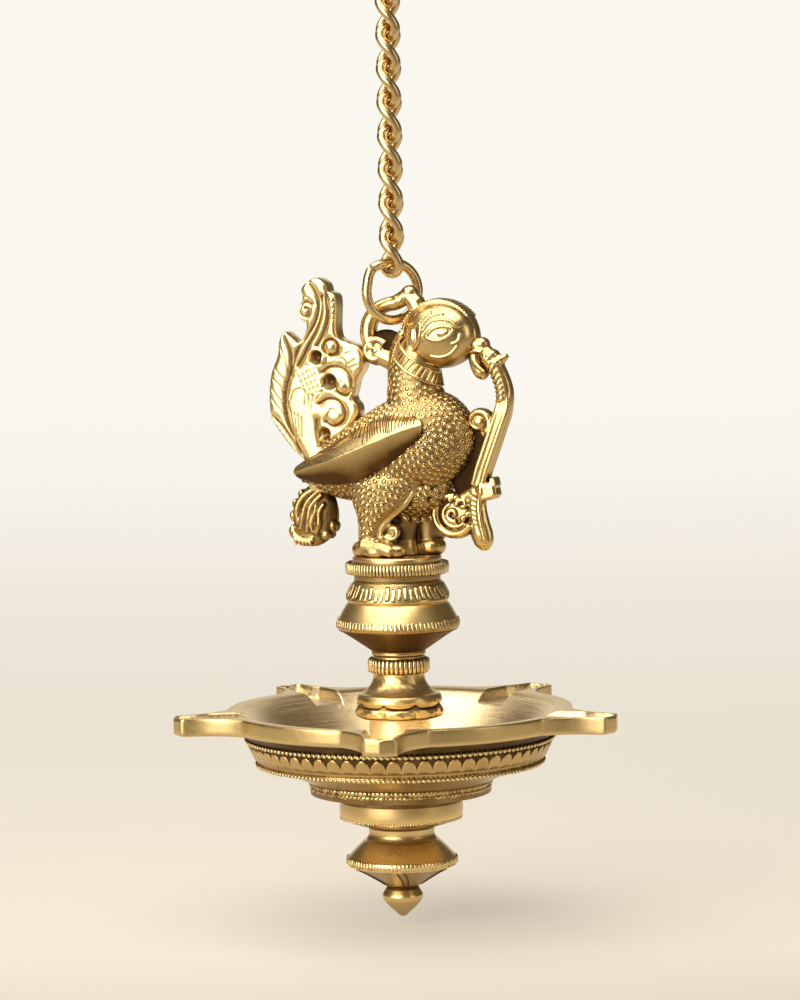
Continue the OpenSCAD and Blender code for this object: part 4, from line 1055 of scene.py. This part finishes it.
# Painted shade in bands: between the ridges and under the bead.
plinth = turned("plinth_turning", [(0, 0), (PLINTH_R - 0.5, 0), (PLINTH_R, -0.5), (PLINTH_R, -1.8)]
                + bulge(PLINTH_R - 0.2, PLINTH_NECK_R, -1.8, -5.5, PLINTH_BEAD_R - PLINTH_R - 0.5)
                + [(PLINTH_NECK_R, SKIRT_Z), (0, SKIRT_Z)], 0, [(-5.2, -2.0, -0.75), (-7.4, -5.6, -0.4)])
put(rubbed(turned_out(plinth), gain=2, reach=2), "lamp", turned_brass, "turned_brass", "plinth")
set_round_axis("plinth_ridges", ridge_pod, count=88, radius=14.95, z=-3.65, size=(1.3, 0.90, 3.5), seed=3,
               tilt=0.05, sway=0.05, uneven=0.06)
# Painted shade in a band between the skirt's ridges.
skirt = turned("skirt_turning", sweep(PLINTH_NECK_R, SKIRT_R - 0.5, SKIRT_Z, BULB_Z + 1.4, 0.8)
               + [(SKIRT_R - 0.3, BULB_Z + 0.5), (SKIRT_R - 0.6, BULB_Z)], ROD_BORE_R,
               [(BULB_Z + 1.4, SKIRT_Z - 0.8, -0.45)])
put(rubbed(turned_out(skirt), gain=2, reach=2), "lamp", turned_brass, "turned_brass", "skirt_collar")
set_round_axis("skirt_ridges", ridge_pod, count=50, radius=14.4, z=-10.5, size=(1.0, 1.5, 4.7), seed=5,
               lean=-0.46, tilt=0.05, sway=0.10, uneven=0.12, slip=0.6)

# BALUSTER
# One turning: a bulb with a nicked edge, a hollow cone, a ridged bead on the neck, and a flared column whose
# foot ends in a roll and a petalled lip that stand in the bowl.
BULB_TOP_R, BULB_R, NECK_R, BEAD_R, FOOT_R, LIP_R = 15.4, 18.4, 7.7, 9.2, 12.8, 13.1
EDGE_Z, CONE_Z, BEAD_Z, COLUMN_Z, FOOT_Z, LIP_Z, BALUSTER_Z = -20.0, -22.4, -30.8, -35.5, -41.5, -45.4, -48.8


def petalled_lip(a, z):
    """How far the lip's petals and the rough column stand out and up at an angle."""
    rough = sum(high * math.sin(times * a + twist * z)
                for high, times, twist in ((0.09, 5, 0.9), (0.07, 11, -1.7), (0.05, 23, 2.3)))
    if z > LIP_Z + 1.6:
        return (rough * 0.35 if z < COLUMN_Z - 0.5 else 0), 0
    petal = abs(math.cos(4 * (a + math.radians(67))))
    low = max(0, min(1, (LIP_Z + 1.6 - z) / 3))
    return low * (0.9 * petal**0.5 - 0.75 + 1.6 * rough), 1.1 * (1 - petal) ** 2 * (1 - abs(2 * low - 1))


# Painted shade in bands: the cone under the bulb, the ridged bead, the lip and its foot, and round the nicked
# edge.
baluster = turned("baluster_turning", sweep(BULB_TOP_R - 0.7, BULB_R, BULB_Z, EDGE_Z, 0.8)
                  + [(BULB_R + 0.1, EDGE_Z - 1.2), (BULB_R - 0.5, CONE_Z)]
                  + sweep(BULB_R - 1.0, NECK_R + 0.2, CONE_Z - 0.1, BEAD_Z + 1.9, 0.95)
                  + [(NECK_R + 0.5, BEAD_Z + 1.5), (NECK_R + 0.4, BEAD_Z + 1.0), (NECK_R - 0.1, BEAD_Z + 0.5)]
                  + bulge(NECK_R, NECK_R, BEAD_Z - 0.05, COLUMN_Z, BEAD_R - NECK_R - 0.3)
                  + sweep(NECK_R, FOOT_R - 1.4, COLUMN_Z - 0.05, FOOT_Z, 2.6)
                  + bulge(FOOT_R - 1, FOOT_R - 0.7, FOOT_Z - 0.05, LIP_Z, 0.9)
                  + bulge(LIP_R - 0.9, LIP_R - 0.9, LIP_Z - 0.05, BALUSTER_Z, 0.9), ROD_BORE_R,
                  [(BEAD_Z + 2, CONE_Z + 0.4, -0.7), (COLUMN_Z, BEAD_Z, -0.75),
                   (LIP_Z - 0.4, LIP_Z + 0.4, -0.75), (BALUSTER_Z - 0.1, BALUSTER_Z + 0.7, -0.85),
                   (EDGE_Z - 1.4, EDGE_Z + 0.6, -0.35)],
                  petalled_lip, 240)
put(rubbed(turned_out(baluster), gain=4, reach=2), "lamp", turned_brass, "turned_brass", "baluster")
set_round_axis("bulb_nicks", ridge_pod, count=88, radius=18.15, z=-20.1, size=(0.8, 0.92, 2.5), seed=12,
               lean=-0.22, tilt=0.10, sway=0.10, uneven=0.16, slip=0.2)
set_round_axis("neck_ridges", ridge_pod, count=40, radius=8.7, z=-33.1, size=(1.3, 1.14, 4.4), seed=14,
               sway=0.05, uneven=0.06)

# BOWL
# A cast dish that turns on the rod. Five spouts flare out of its rim, each with a channel for a wick, and the
# dish is turned bright inside. Outside it has a band of petals between rows of beads, and a roped step below.
RIM_R, RIM_H, RIM_Z, BOWL_DEPTH, RIM_WALL = 52.0, 5.2, -46.1, 15.0, 2.2
RIM_LOW_Z, DISH_R = RIM_Z - RIM_H, 40.0
BAND_TOP_R, BAND_R, BAND_Z, BAND_LOW_Z = 45.9, 43.0, -54.4, -62.6
STEP_R, STEP_Z, BOWL_LOW_Z, BOSS_R, BOSS_Z = 27.5, -67.8, -71.7, 9.2, -48.9
SPOUTS, SPOUT_REACH, SPOUT_TIP, SPOUT_ROOT, SPOUT_WALL, CHANNEL_ROOT = 5, 69.0, 10.0, 29.0, 1.8, 11.0
CHANNEL_DEEP = 3.5
dish_brass = brass("dish_brass", (0.93, 0.70, 0.40), (0.20, 0.12, 0.05), matt=0.40, lathe=2.0, smut=0.12,
                   lumps=0.03)
rim_brass = brass("rim_brass", (0.69, 0.50, 0.22), (0.15, 0.08, 0.026), matt=0.34, smut=0.20, lumps=0.12)
band_brass = brass("band_brass", (0.60, 0.405, 0.16), (0.09, 0.045, 0.014), matt=0.31, smut=0.20)


def spout_half(r):
    """Half a spout's width at a distance from the axis."""
    flare = max(0, (SPOUT_REACH - r) / (SPOUT_REACH - RIM_R + 3)) ** 2.6
    return SPOUT_TIP / 2 + (SPOUT_ROOT - SPOUT_TIP) / 2 * flare


def rim_outline():
    """The rim's outline, one spout after another, each with half of the rim on either side of it."""
    flare = [(r, spout_half(r)) for r in np.linspace(RIM_R - 1.5, SPOUT_REACH - 2.2, 34)]
    flare = [p for p in flare if math.hypot(*p) > RIM_R + 0.02]
    meet = math.atan2(flare[0][1], flare[0][0])
    arc = [(RIM_R * math.cos(a), RIM_R * math.sin(a))
           for a in np.linspace(math.pi / SPOUTS, meet, 15, endpoint=False)]
    end = [(SPOUT_REACH - 1.7, SPOUT_TIP / 2 - 0.1), (SPOUT_REACH - 1.3, SPOUT_TIP / 2 - 0.45)]
    end += [(SPOUT_REACH - 0.23 * y, y) for y in np.linspace(SPOUT_TIP / 2 - 1.0, 0, 9)]
    upper = arc + flare + end
    lower = [(x, -y) for x, y in upper[-2:0:-1]]
    sector = (upper + lower)[::-1]
    out = []
    for k in range(SPOUTS):
        c, s = math.cos(2 * math.pi * k / SPOUTS), math.sin(2 * math.pi * k / SPOUTS)
        out += [(x * c - y * s, x * s + y * c) for x, y in sector]
    return np.array(out)


def ease(t):
    """A soft step from 0 to 1."""
    t = np.clip(t, 0, 1)
    return t * t * (3 - 2 * t)


def bowl_top(p):
    """Height of the bowl's upper side above a point of its plan, measured from the rim."""
    r = np.hypot(p[:, 0], p[:, 1])
    t = np.linspace(0, 1, 200)
    dish_r = RIM_R - RIM_WALL - (RIM_R - RIM_WALL - (BAND_R - 2.2) * 0.72) * t**0.62
    dish_z = -BOWL_DEPTH * np.sin(math.pi / 2 * t) ** 1.15
    z = np.interp(r, dish_r[::-1], dish_z[::-1], left=-BOWL_DEPTH, right=0)
    for k in range(SPOUTS):
        c, s = math.cos(2 * math.pi * k / SPOUTS), math.sin(2 * math.pi * k / SPOUTS)
        x, y = p[:, 0] * c + p[:, 1] * s, np.abs(p[:, 1] * c - p[:, 0] * s)
        half = np.minimum([spout_half(v) - SPOUT_WALL for v in np.minimum(x, SPOUT_REACH)], CHANNEL_ROOT / 2)
        within = ease((half - y) / 1.2 + 0.35) * ease((SPOUT_REACH - SPOUT_WALL - x) / 0.9 + 0.5) * (x > 38)
        nick = np.clip(1 - y / 1.2, 0, 1) * ease((x - SPOUT_REACH + 3.5) / 0.8)
        z = np.minimum(z, -np.maximum(CHANNEL_DEEP * within, 0.4 * nick))
    return z


def level(plan, z):
    """A row of points over a plan, at one height or at a height for each."""
    return np.column_stack([plan, np.broadcast_to(z, len(plan))])


outline = rim_outline()
way = outline / np.hypot(outline[:, 0], outline[:, 1])[:, None]
rows = [level(way * r, z) for r, z in eased([
    (ROD_BORE_R, BOWL_LOW_Z), (ROD_BORE_R, BOSS_Z), (BOSS_R, BOSS_Z), (BOSS_R, RIM_Z - BOWL_DEPTH),
    (BOSS_R + 3, RIM_Z - BOWL_DEPTH)], 0.6)]
for r in np.linspace(BOSS_R + 4, DISH_R, 16):
    rows.append(level(way * r, RIM_Z + bowl_top(way * r)))
for u in 1 - (1 - np.linspace(0, 1, 37)[1:-1]) ** 1.35:
    plan = way * DISH_R + (outline - way * DISH_R) * u
    rows.append(level(plan, RIM_Z + bowl_top(plan)))
edge_top = RIM_Z + bowl_top(outline - way * 0.6)
for inset, drop in ((0.5, 0.04), (0.2, 0.16), (0.04, 0.4), (0, 0.8)):
    rows.append(level(outline - way * inset, edge_top - drop))
for part in (0.3, 0.55, 0.8):
    rows.append(level(outline, (edge_top - 0.8) * (1 - part) + (RIM_LOW_Z + 0.9) * part))
for inset, drop in ((0, 0.9), (0.12, 0.45), (0.4, 0.12), (0.9, 0)):
    rows.append(level(outline - way * inset, RIM_LOW_Z + drop))
inner = RIM_R - 1.4
for part in (0.25, 0.5, 0.75):
    rows.append(level((outline - way * 0.9) * (1 - part) + way * inner * part, RIM_LOW_Z))
under = [(inner, RIM_LOW_Z)] + sweep(RIM_R - 1.8, BAND_TOP_R, RIM_LOW_Z - 0.1, BAND_Z, 0.8, 5) \
    + [(BAND_TOP_R + 0.5, BAND_Z), (BAND_TOP_R + 0.5, BAND_Z - 0.9)] \
    + sweep(BAND_TOP_R - 0.2, BAND_R - 0.2, BAND_Z - 0.95, BAND_LOW_Z + 0.9, 1.4, 6) \
    + [(BAND_R + 0.3, BAND_LOW_Z + 0.8), (BAND_R + 0.3, BAND_LOW_Z)] \
    + sweep(BAND_R - 0.4, STEP_R + 0.6, BAND_LOW_Z - 0.05, STEP_Z, 0.6, 6) \
    + [(STEP_R - 0.2, STEP_Z - 0.6), (STEP_R - 0.2, BOWL_LOW_Z), (ROD_BORE_R, BOWL_LOW_Z)]
rows += [level(way * r, z) for r, z in eased(under, 0.4, 2)[:-1]]
bowl = turned_out(shape("bowl_casting", *stack(rows, True), LAMP_Z))
for metal in (dish_brass, rim_brass, band_brass):
    bowl.data.materials.append(metal)
at_x, at_y, at_z = points_of(bowl).T / MM
levels, spans = at_z - LAMP_Z, np.hypot(at_x, at_y)
# Painted shade under the rim, in the hollow above the petals, and on the underside below the step.
in_band = (levels < BAND_Z - 0.8) & (levels > BAND_Z - 3.8) & (spans > DISH_R)
under_rim = (levels < RIM_LOW_Z + 0.02) & (levels > BAND_Z - 0.05) & (spans > DISH_R) & (spans < RIM_R)
dark = np.where(under_rim, -0.85, np.where(in_band, -0.9, 0.0))
dark = np.where((levels < STEP_Z + 0.2) & (spans > 25), -0.6, dark)
add_relief(bowl, dark)
rubbed(bowl, gain=3, reach=1)
zone = []
for face in bowl.data.polygons:
    r, z = math.hypot(face.center.x, face.center.y) / MM, face.center.z / MM - LAMP_Z
    up = face.normal.z > 0.15 and z > RIM_Z - BOWL_DEPTH - 1
    zone.append(0 if (up and z < RIM_Z - 0.9) or (r < RIM_R - 3 and z > BAND_LOW_Z and r < 41) else
                (1 if z > RIM_LOW_Z - 0.3 else 2))
bowl.data.polygons.foreach_set("material_index", zone)
not_dish = np.ones(len(bowl.data.vertices))
for face, part in zip(bowl.data.polygons, zone):
    if part == 0:
        not_dish[list(face.vertices)] = 0.0
# The turned dish keeps none of the wear and painted shade.
wear_and_shade = np.zeros(len(not_dish))
bowl.data.attributes["relief"].data.foreach_get("value", wear_and_shade)
bowl.data.attributes["relief"].data.foreach_set("value", (wear_and_shade * not_dish).astype(np.float32))
bowl.data.shade_smooth()
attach(bowl, "bowl")
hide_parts("bowl")

# Beads and petals carry painted shade at their foot and a painted highlight on their crown.
bead_rows = [(0.02, 0.5), (0.30, 0.40), (0.47, 0.17), (0.5, -0.05), (0.44, -0.24), (0.02, -0.4)]
bead = small_form("bead", [[(h, r * math.cos(a), r * math.sin(a)) for a in oval(8)] for r, h in bead_rows],
                  (-0.2, 0.14, 0.36, 0.5), (-1.0, -0.7, 0.1, 0.5))
petal_edge = [(-0.56, -0.5), (-0.53, -0.25), (-0.48, 0.0), (-0.40, 0.20), (-0.27, 0.37), (-0.10, 0.48),
              (0.10, 0.48), (0.27, 0.37), (0.40, 0.20), (0.48, 0.0), (0.53, -0.25), (0.56, -0.5)]
petal_rows = [(-0.6, 0.7), (-0.6, 1), (-0.05, 1), (0.24, 0.94), (0.40, 0.80)]
petal = small_form("petal", [[(deep, u * share, (v + 0.5) * (1.5 * share - 0.5) - 0.5) for u, v in petal_edge]
                             for deep, share in petal_rows], (-0.1, 0.1, 0.25, 0.40), (-1.0, -0.3, 0.35, 0.0))
band_lean = math.atan2(BAND_TOP_R - BAND_R, BAND_Z - BAND_LOW_Z)
bowl_trims = []
for name, form, count, radius, z, size, lean, uneven, seed in (
        ("upper_beads", bead, 166, BAND_TOP_R + 0.45, BAND_Z - 0.45, (1.2, 1.45, 1.4), 0.2, 0.10, 21),
        ("petals", petal, 62, 44.85, -57.9, (1.0, 4.55, 4.9), band_lean + 0.12, 0.0, 22),
        ("lower_beads", bead, 186, BAND_R + 0.3, BAND_LOW_Z + 0.4, (1.0, 1.25, 1.2), 0.1, 0.15, 23),
        ("rope_edge", bead, 124, STEP_R - 0.05, STEP_Z - 0.7, (0.7, 1.7, 1.7), 0.0, 0.40, 24),
        ("rope_edge_low", bead, 118, STEP_R - 0.3, STEP_Z - 2.0, (0.5, 1.7, 1.1), 0.0, 0.45, 25)):
    metal = ridge_brass if "beads" in name else band_brass
    roped = "rope" in name
    trim = set_round_axis("bowl_" + name, form, count, radius, z, size, seed, lean, 0.35 * roped, 0.25 * roped,
                          uneven, metal=metal, body="bowl")
    bowl_trims.append((trim, len(form.data.vertices)))

# DROP FINIAL
# The nut that closes the rod from below, turned as a drum, a neck, a drop with a nicked edge and a pointed bud.
# Pairs of slanted cuts are filed in its lower cone.
DRUM_R, DROP_NECK_R, DROP_R, BUD_R = 18.6, 9.8, 16.9, 6.2
DRUM_Z, SHOULDER_Z, DROP_NECK_Z, DROP_Z, DROP_EDGE_Z = -71.8, -79.6, -82.0, -85.6, -91.4
DROP_CONE_Z, BUD_Z, TIP_Z = -94.1, -100.5, -109.7
bud = smooth_line([
    (BUD_R - 1.6, BUD_Z), (BUD_R - 0.7, BUD_Z - 1.2), (BUD_R, BUD_Z - 2.7), (BUD_R - 0.7, BUD_Z - 4.4),
    (BUD_R - 2.3, BUD_Z - 6.2), (BUD_R - 4.2, BUD_Z - 8.0), (0.9, TIP_Z + 0.25), (0, TIP_Z)], 4)
drum = [(0, DRUM_Z), (DRUM_R - 1.2, DRUM_Z), (DRUM_R - 1.2, DRUM_Z - 0.8), (DRUM_R - 0.1, DRUM_Z - 1.4),
        (DRUM_R - 0.1, DRUM_Z - 2.2), (DRUM_R - 0.05, DRUM_Z - 3.2), (DRUM_R, DRUM_Z - 4.4),
        (DRUM_R, SHOULDER_Z + 2), (DRUM_R - 0.2, SHOULDER_Z + 0.6)]
# Painted light in bands: shade on the drum, its top, the neck, the lower cone and the bud's lower part, and a
# highlight on the drop's upper cone.
finial = turned("finial_turning", drum
                + sweep(DRUM_R - 0.6, DROP_NECK_R + 0.2, SHOULDER_Z + 0.3, DROP_NECK_Z, 1.3)
                + [(DROP_NECK_R + 0.1, DROP_NECK_Z - 0.8), (DROP_NECK_R, DROP_NECK_Z - 2.2),
                   (DROP_NECK_R + 0.3, DROP_Z + 0.6), (DROP_NECK_R + 0.9, DROP_Z - 0.1)]
                + sweep(DROP_NECK_R + 1.5, DROP_R - 0.3, DROP_Z - 0.5, DROP_EDGE_Z, 0.95)
                + [(DROP_R - 0.1, DROP_EDGE_Z - 1.0), (DROP_R - 0.5, DROP_CONE_Z + 0.4)]
                + sweep(DROP_R - 0.8, BUD_R - 1.6, DROP_CONE_Z + 0.3, BUD_Z, 0.85) + list(bud), 0,
                [(SHOULDER_Z + 0.2, DRUM_Z + 0.1, -0.42), (DRUM_Z - 2.4, DRUM_Z + 0.1, -0.95),
                 (DROP_NECK_Z - 0.4, SHOULDER_Z - 0.4, -0.55), (DROP_EDGE_Z, DROP_Z, 0.8),
                 (BUD_Z - 0.6, DROP_CONE_Z + 0.2, -0.35), (TIP_Z - 0.1, BUD_Z - 4.2, -0.35)])
put(rubbed(turned_out(finial), gain=4, reach=2), "lamp", turned_brass, "turned_brass", "drop_finial")
set_round_axis("drop_nicks", ridge_pod, count=88, radius=16.45, z=-92.2, size=(0.8, 0.8, 2.2), seed=31,
               lean=-0.10, tilt=0.12, sway=0.14, uneven=0.20, slip=0.15)
set_round_axis("drum_edge", bead, count=130, radius=DRUM_R - 0.35, z=SHOULDER_Z + 0.5, size=(0.5, 0.8, 0.7),
               seed=33, lean=-0.3, sway=0.2, uneven=0.5)
# The cuts are thin dark wires laid on the cone: painted shade in them.
cuts = []
for k in range(6):
    for start_at, twist in ((-1.30, 0.20), (-1.16, 0.31)):
        line = []
        for t in np.linspace(0.06, 0.84, 7):
            r = DROP_R - 0.84 + (BUD_R - 1.6 - DROP_R + 0.8) * t**0.85
            a = start_at + math.radians(60 * k) + twist * t
            z = DROP_CONE_Z + 0.3 + (BUD_Z - DROP_CONE_Z - 0.3) * t
            line.append((r * math.cos(a), r * math.sin(a), z))
        cuts.append(line)
put(wires("drop_cuts", cuts, 0.26, 8, painted_shade_brass, False, LAMP_Z), "lamp", painted_shade_brass, "turned_brass")
for form in (ridge_pod, bead, petal):
    bpy.data.objects.remove(form)

# TIE ROD
# The plain brass rod inside the stack, from the plinth down into the drop. Nothing of it shows when hung.
rod_brass = brass("rod_brass", (0.60, 0.40, 0.15), (0.15, 0.08, 0.03), matt=0.30, lathe=0.5)
tie_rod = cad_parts["tie_rod"]
tie_rod.data.materials.clear()
tie_rod.data.materials.append(rod_brass)

# PAINTED SHADE IN THE HOLLOWS
# Every casting is darkened by how closely other metal closes in on each face, and where a face looks down:
# painted shade for the light that cannot reach there.
SHUT_IN_REACH, LOOKS, GOLDEN_TURN = 10.0 * MM, 9, 2.39996
castings = [bird_body, bird_head, *wings, tail, tail_curl, vine, crest_loop, plinth, skirt, baluster, bowl,
            finial]
corners, sides = [], []
for piece in castings:
    base = len(corners)
    corners += points_of(piece).tolist()
    sides += [[base + i for i in face.vertices] for face in piece.data.polygons]
metal_round = BVHTree.FromPolygons(corners, sides)
rise = (np.arange(LOOKS) + 0.5) / LOOKS
level_out, flat_turn = np.sqrt(1 - rise**2), GOLDEN_TURN * np.arange(LOOKS)
looks = np.column_stack([level_out * np.cos(flat_turn), level_out * np.sin(flat_turn), rise])


def paint_shade_in(piece, per_copy=1, gain=1.7, below=0.5, share=1.0):
    """Paints shade on a piece, or on each copy in it, where metal stands close in front of it and where it
    faces down.
    """
    spots, facing = (points_of(piece, what).reshape(-1, per_copy, 3).mean(1) for what in ("co", "normal"))
    facing /= np.maximum(np.linalg.norm(facing, axis=1), 1e-6)[:, None]
    lean = facing @ looks.T
    ways = (looks[None] * np.where(lean < 0, -1, 1)[..., None]).tolist()
    shut = np.zeros(lean.shape)
    for i, spot in enumerate((spots + facing * 0.35 * MM).tolist()):
        for j, way in enumerate(ways[i]):
            gone = metal_round.ray_cast(spot, way, SHUT_IN_REACH)[3]
            if gone is not None:
                shut[i, j] = 1 - gone / SHUT_IN_REACH
    shut = (shut * np.abs(lean)).sum(1) / np.abs(lean).sum(1)
    dark = gain * np.clip(shut - 0.14, 0, 1) + below * np.clip(-facing[:, 2], 0, 1)
    dark = np.repeat(dark, per_copy)
    add_relief(piece, -share * (blurred(piece, dark, 4) if per_copy == 1 else dark))


for piece in castings[:-2]:
    paint_shade_in(piece, gain=0.9 if piece in wings else 1.7)
paint_shade_in(bowl, below=0.1, share=not_dish)
paint_shade_in(finial, below=0.1)
paint_shade_in(scales, len(button_points))
for trim, per_copy in bowl_trims:
    paint_shade_in(trim, per_copy, 1.3, 0.0)

# STUDIO
# The lamp hangs just above a pale cream floor that runs back to a cream sheet. A large soft light stands at the
# front left, a narrower one at the front right, and one hangs overhead.
FLOOR_Z, FLOOR_HALF, SHEET_HALF = -0.3045, 4.0, 0.9
VIEW = math.radians(23)
CAMERA_AWAY, CAMERA_Z, CAMERA_AIM_Z, CAMERA_ROLL = 1.1, -0.0928, -0.1753, math.radians(-1.0)
LENS, SENSOR, SHIFT = 88.25, 24.0, 0.004
front = Vector((math.sin(VIEW), -math.cos(VIEW), 0))
right = Vector((math.cos(VIEW), math.sin(VIEW), 0))
scene = bpy.context.scene
scene.view_settings.view_transform = "Standard"


def paper(name, near, far):
    """Cream paper that is lit near the lamp and fades into the same even tone behind it."""
    sheet = bpy.data.materials.new(name)
    sheet.use_nodes = True
    tree = sheet.node_tree
    tree.nodes.remove(tree.nodes["Principled BSDF"])
    start = Tone(tree)
    x, y, z = start.node("ShaderNodeTexCoord", {}, {}, "Object").parts()
    ahead = x * front.x + y * front.y
    aside = start.sum("ABSOLUTE", x * right.x + y * right.y, 0.0)
    apart = (ahead * ahead + aside * aside) ** 0.5
    # Painted light and shade: its colour dims towards the front and both sides, and pales towards the back.
    dim = 1 - ((ahead - 0.04) / 0.5).held() * 0.70 - ((aside - 0.42) / 0.9).held() * 0.55
    up = ((0.1 - ahead) / 2.2 + (z - FLOOR_Z) * 0.45).held()
    tone = up.mix(list(near) + [1], list(far) + [1])
    tone = dim.held(0.28, 1.0).mix([0, 0, 0, 1], tone)
    # What is seen of it has some even light of its own, less of it under the lamp, where the shadow falls.
    rays = tree.nodes.new("ShaderNodeLightPath")
    seen = (Tone(tree, rays.outputs["Is Camera Ray"]) + Tone(tree, rays.outputs["Is Glossy Ray"])
            + Tone(tree, rays.outputs["Is Transmission Ray"])).held()
    plain = start.node("ShaderNodeBsdfDiffuse", {}, {"Color": tone})
    lit = start.node("ShaderNodeEmission", {}, {"Color": tone, "Strength": 1.0})
    even = seen * (((apart - 0.12) / 0.45).held() * 0.31 + 0.67)
    both = start.node("ShaderNodeMixShader", {}, {0: even, 1: plain, 2: lit})
    tree.links.new(both.out, tree.nodes["Material Output"].inputs["Surface"])
    return sheet


cream = paper("cream_paper", (0.766, 0.689, 0.568), (0.965, 0.94, 0.875))
floor = new_piece("floor", [(x * FLOOR_HALF, y * FLOOR_HALF, FLOOR_Z)
                            for x, y in ((-1, -1), (1, -1), (1, 1), (-1, 1))], faces=[(0, 1, 2, 3)])
back_rows = [(1.5, 0.0), (1.9, 0.02), (2.15, 0.12), (2.3, 0.32), (2.36, 0.6), (2.4, 1.6)]
back_verts = []
for deep, high in back_rows:
    for wide in (-SHEET_HALF, SHEET_HALF):
        p = -front * deep + right * wide
        back_verts.append((p.x, p.y, FLOOR_Z + 0.001 + high))
back_faces = [(2 * i, 2 * i + 1, 2 * i + 3, 2 * i + 2) for i in range(len(back_rows) - 1)]
back = new_piece("backdrop", back_verts, faces=back_faces)
back.data.shade_smooth()
for thing in (floor, back):
    thing.data.materials.append(cream)

world = bpy.data.worlds.new("room")
scene.world = world
world.use_nodes = True
glow = world.node_tree.nodes["Background"].inputs
glow["Color"].default_value, glow["Strength"].default_value = (0.34, 0.28, 0.20, 1), 0.35


def soft_light(name, place, aim, wide, high, power, colour):
    """A rectangle of light that faces a point."""
    data = bpy.data.lights.new(name, "AREA")
    data.shape, data.size, data.size_y = "RECTANGLE", wide, high
    data.energy, data.color = power, colour
    lamp = bpy.data.objects.new(name, data)
    lamp.location = place
    lamp.rotation_euler = (Vector(aim) - Vector(place)).to_track_quat("-Z", "Y").to_euler()
    scene.collection.objects.link(lamp)


middle = Vector((0, 0, -0.17))
key_way = (front - right * 0.75).normalized()
fill_way = (front * 0.6 + right).normalized()
key_place = middle + key_way * 1.15 + Vector((0, 0, 0.32))
fill_place = middle + fill_way * 1.3 + Vector((0, 0, 0.30))
top_place = Vector((-0.1, -0.28, 0.85))
soft_light("key_light", key_place, middle, wide=1.0, high=0.90, power=17.2, colour=(1.0, 0.97, 0.90))
soft_light("fill_light", fill_place, middle, wide=0.24, high=0.80, power=1.5, colour=(1.0, 0.95, 0.86))
soft_light("top_light", top_place, middle, wide=1.6, high=1.1, power=22.6, colour=(1.0, 0.98, 0.94))

camera_data = bpy.data.cameras.new("camera")
camera = bpy.data.objects.new("camera", camera_data)
scene.collection.objects.link(camera)
camera_data.sensor_fit = "VERTICAL"
camera_data.sensor_height, camera_data.lens, camera_data.shift_x = SENSOR, LENS, SHIFT
camera.location = front * CAMERA_AWAY + Vector((0, 0, CAMERA_Z))
look = (Vector((0, 0, CAMERA_AIM_Z)) - camera.location).to_track_quat("-Z", "Y").to_matrix()
camera.rotation_euler = (look @ Matrix.Rotation(CAMERA_ROLL, 3, "Z")).to_euler()
scene.camera = camera
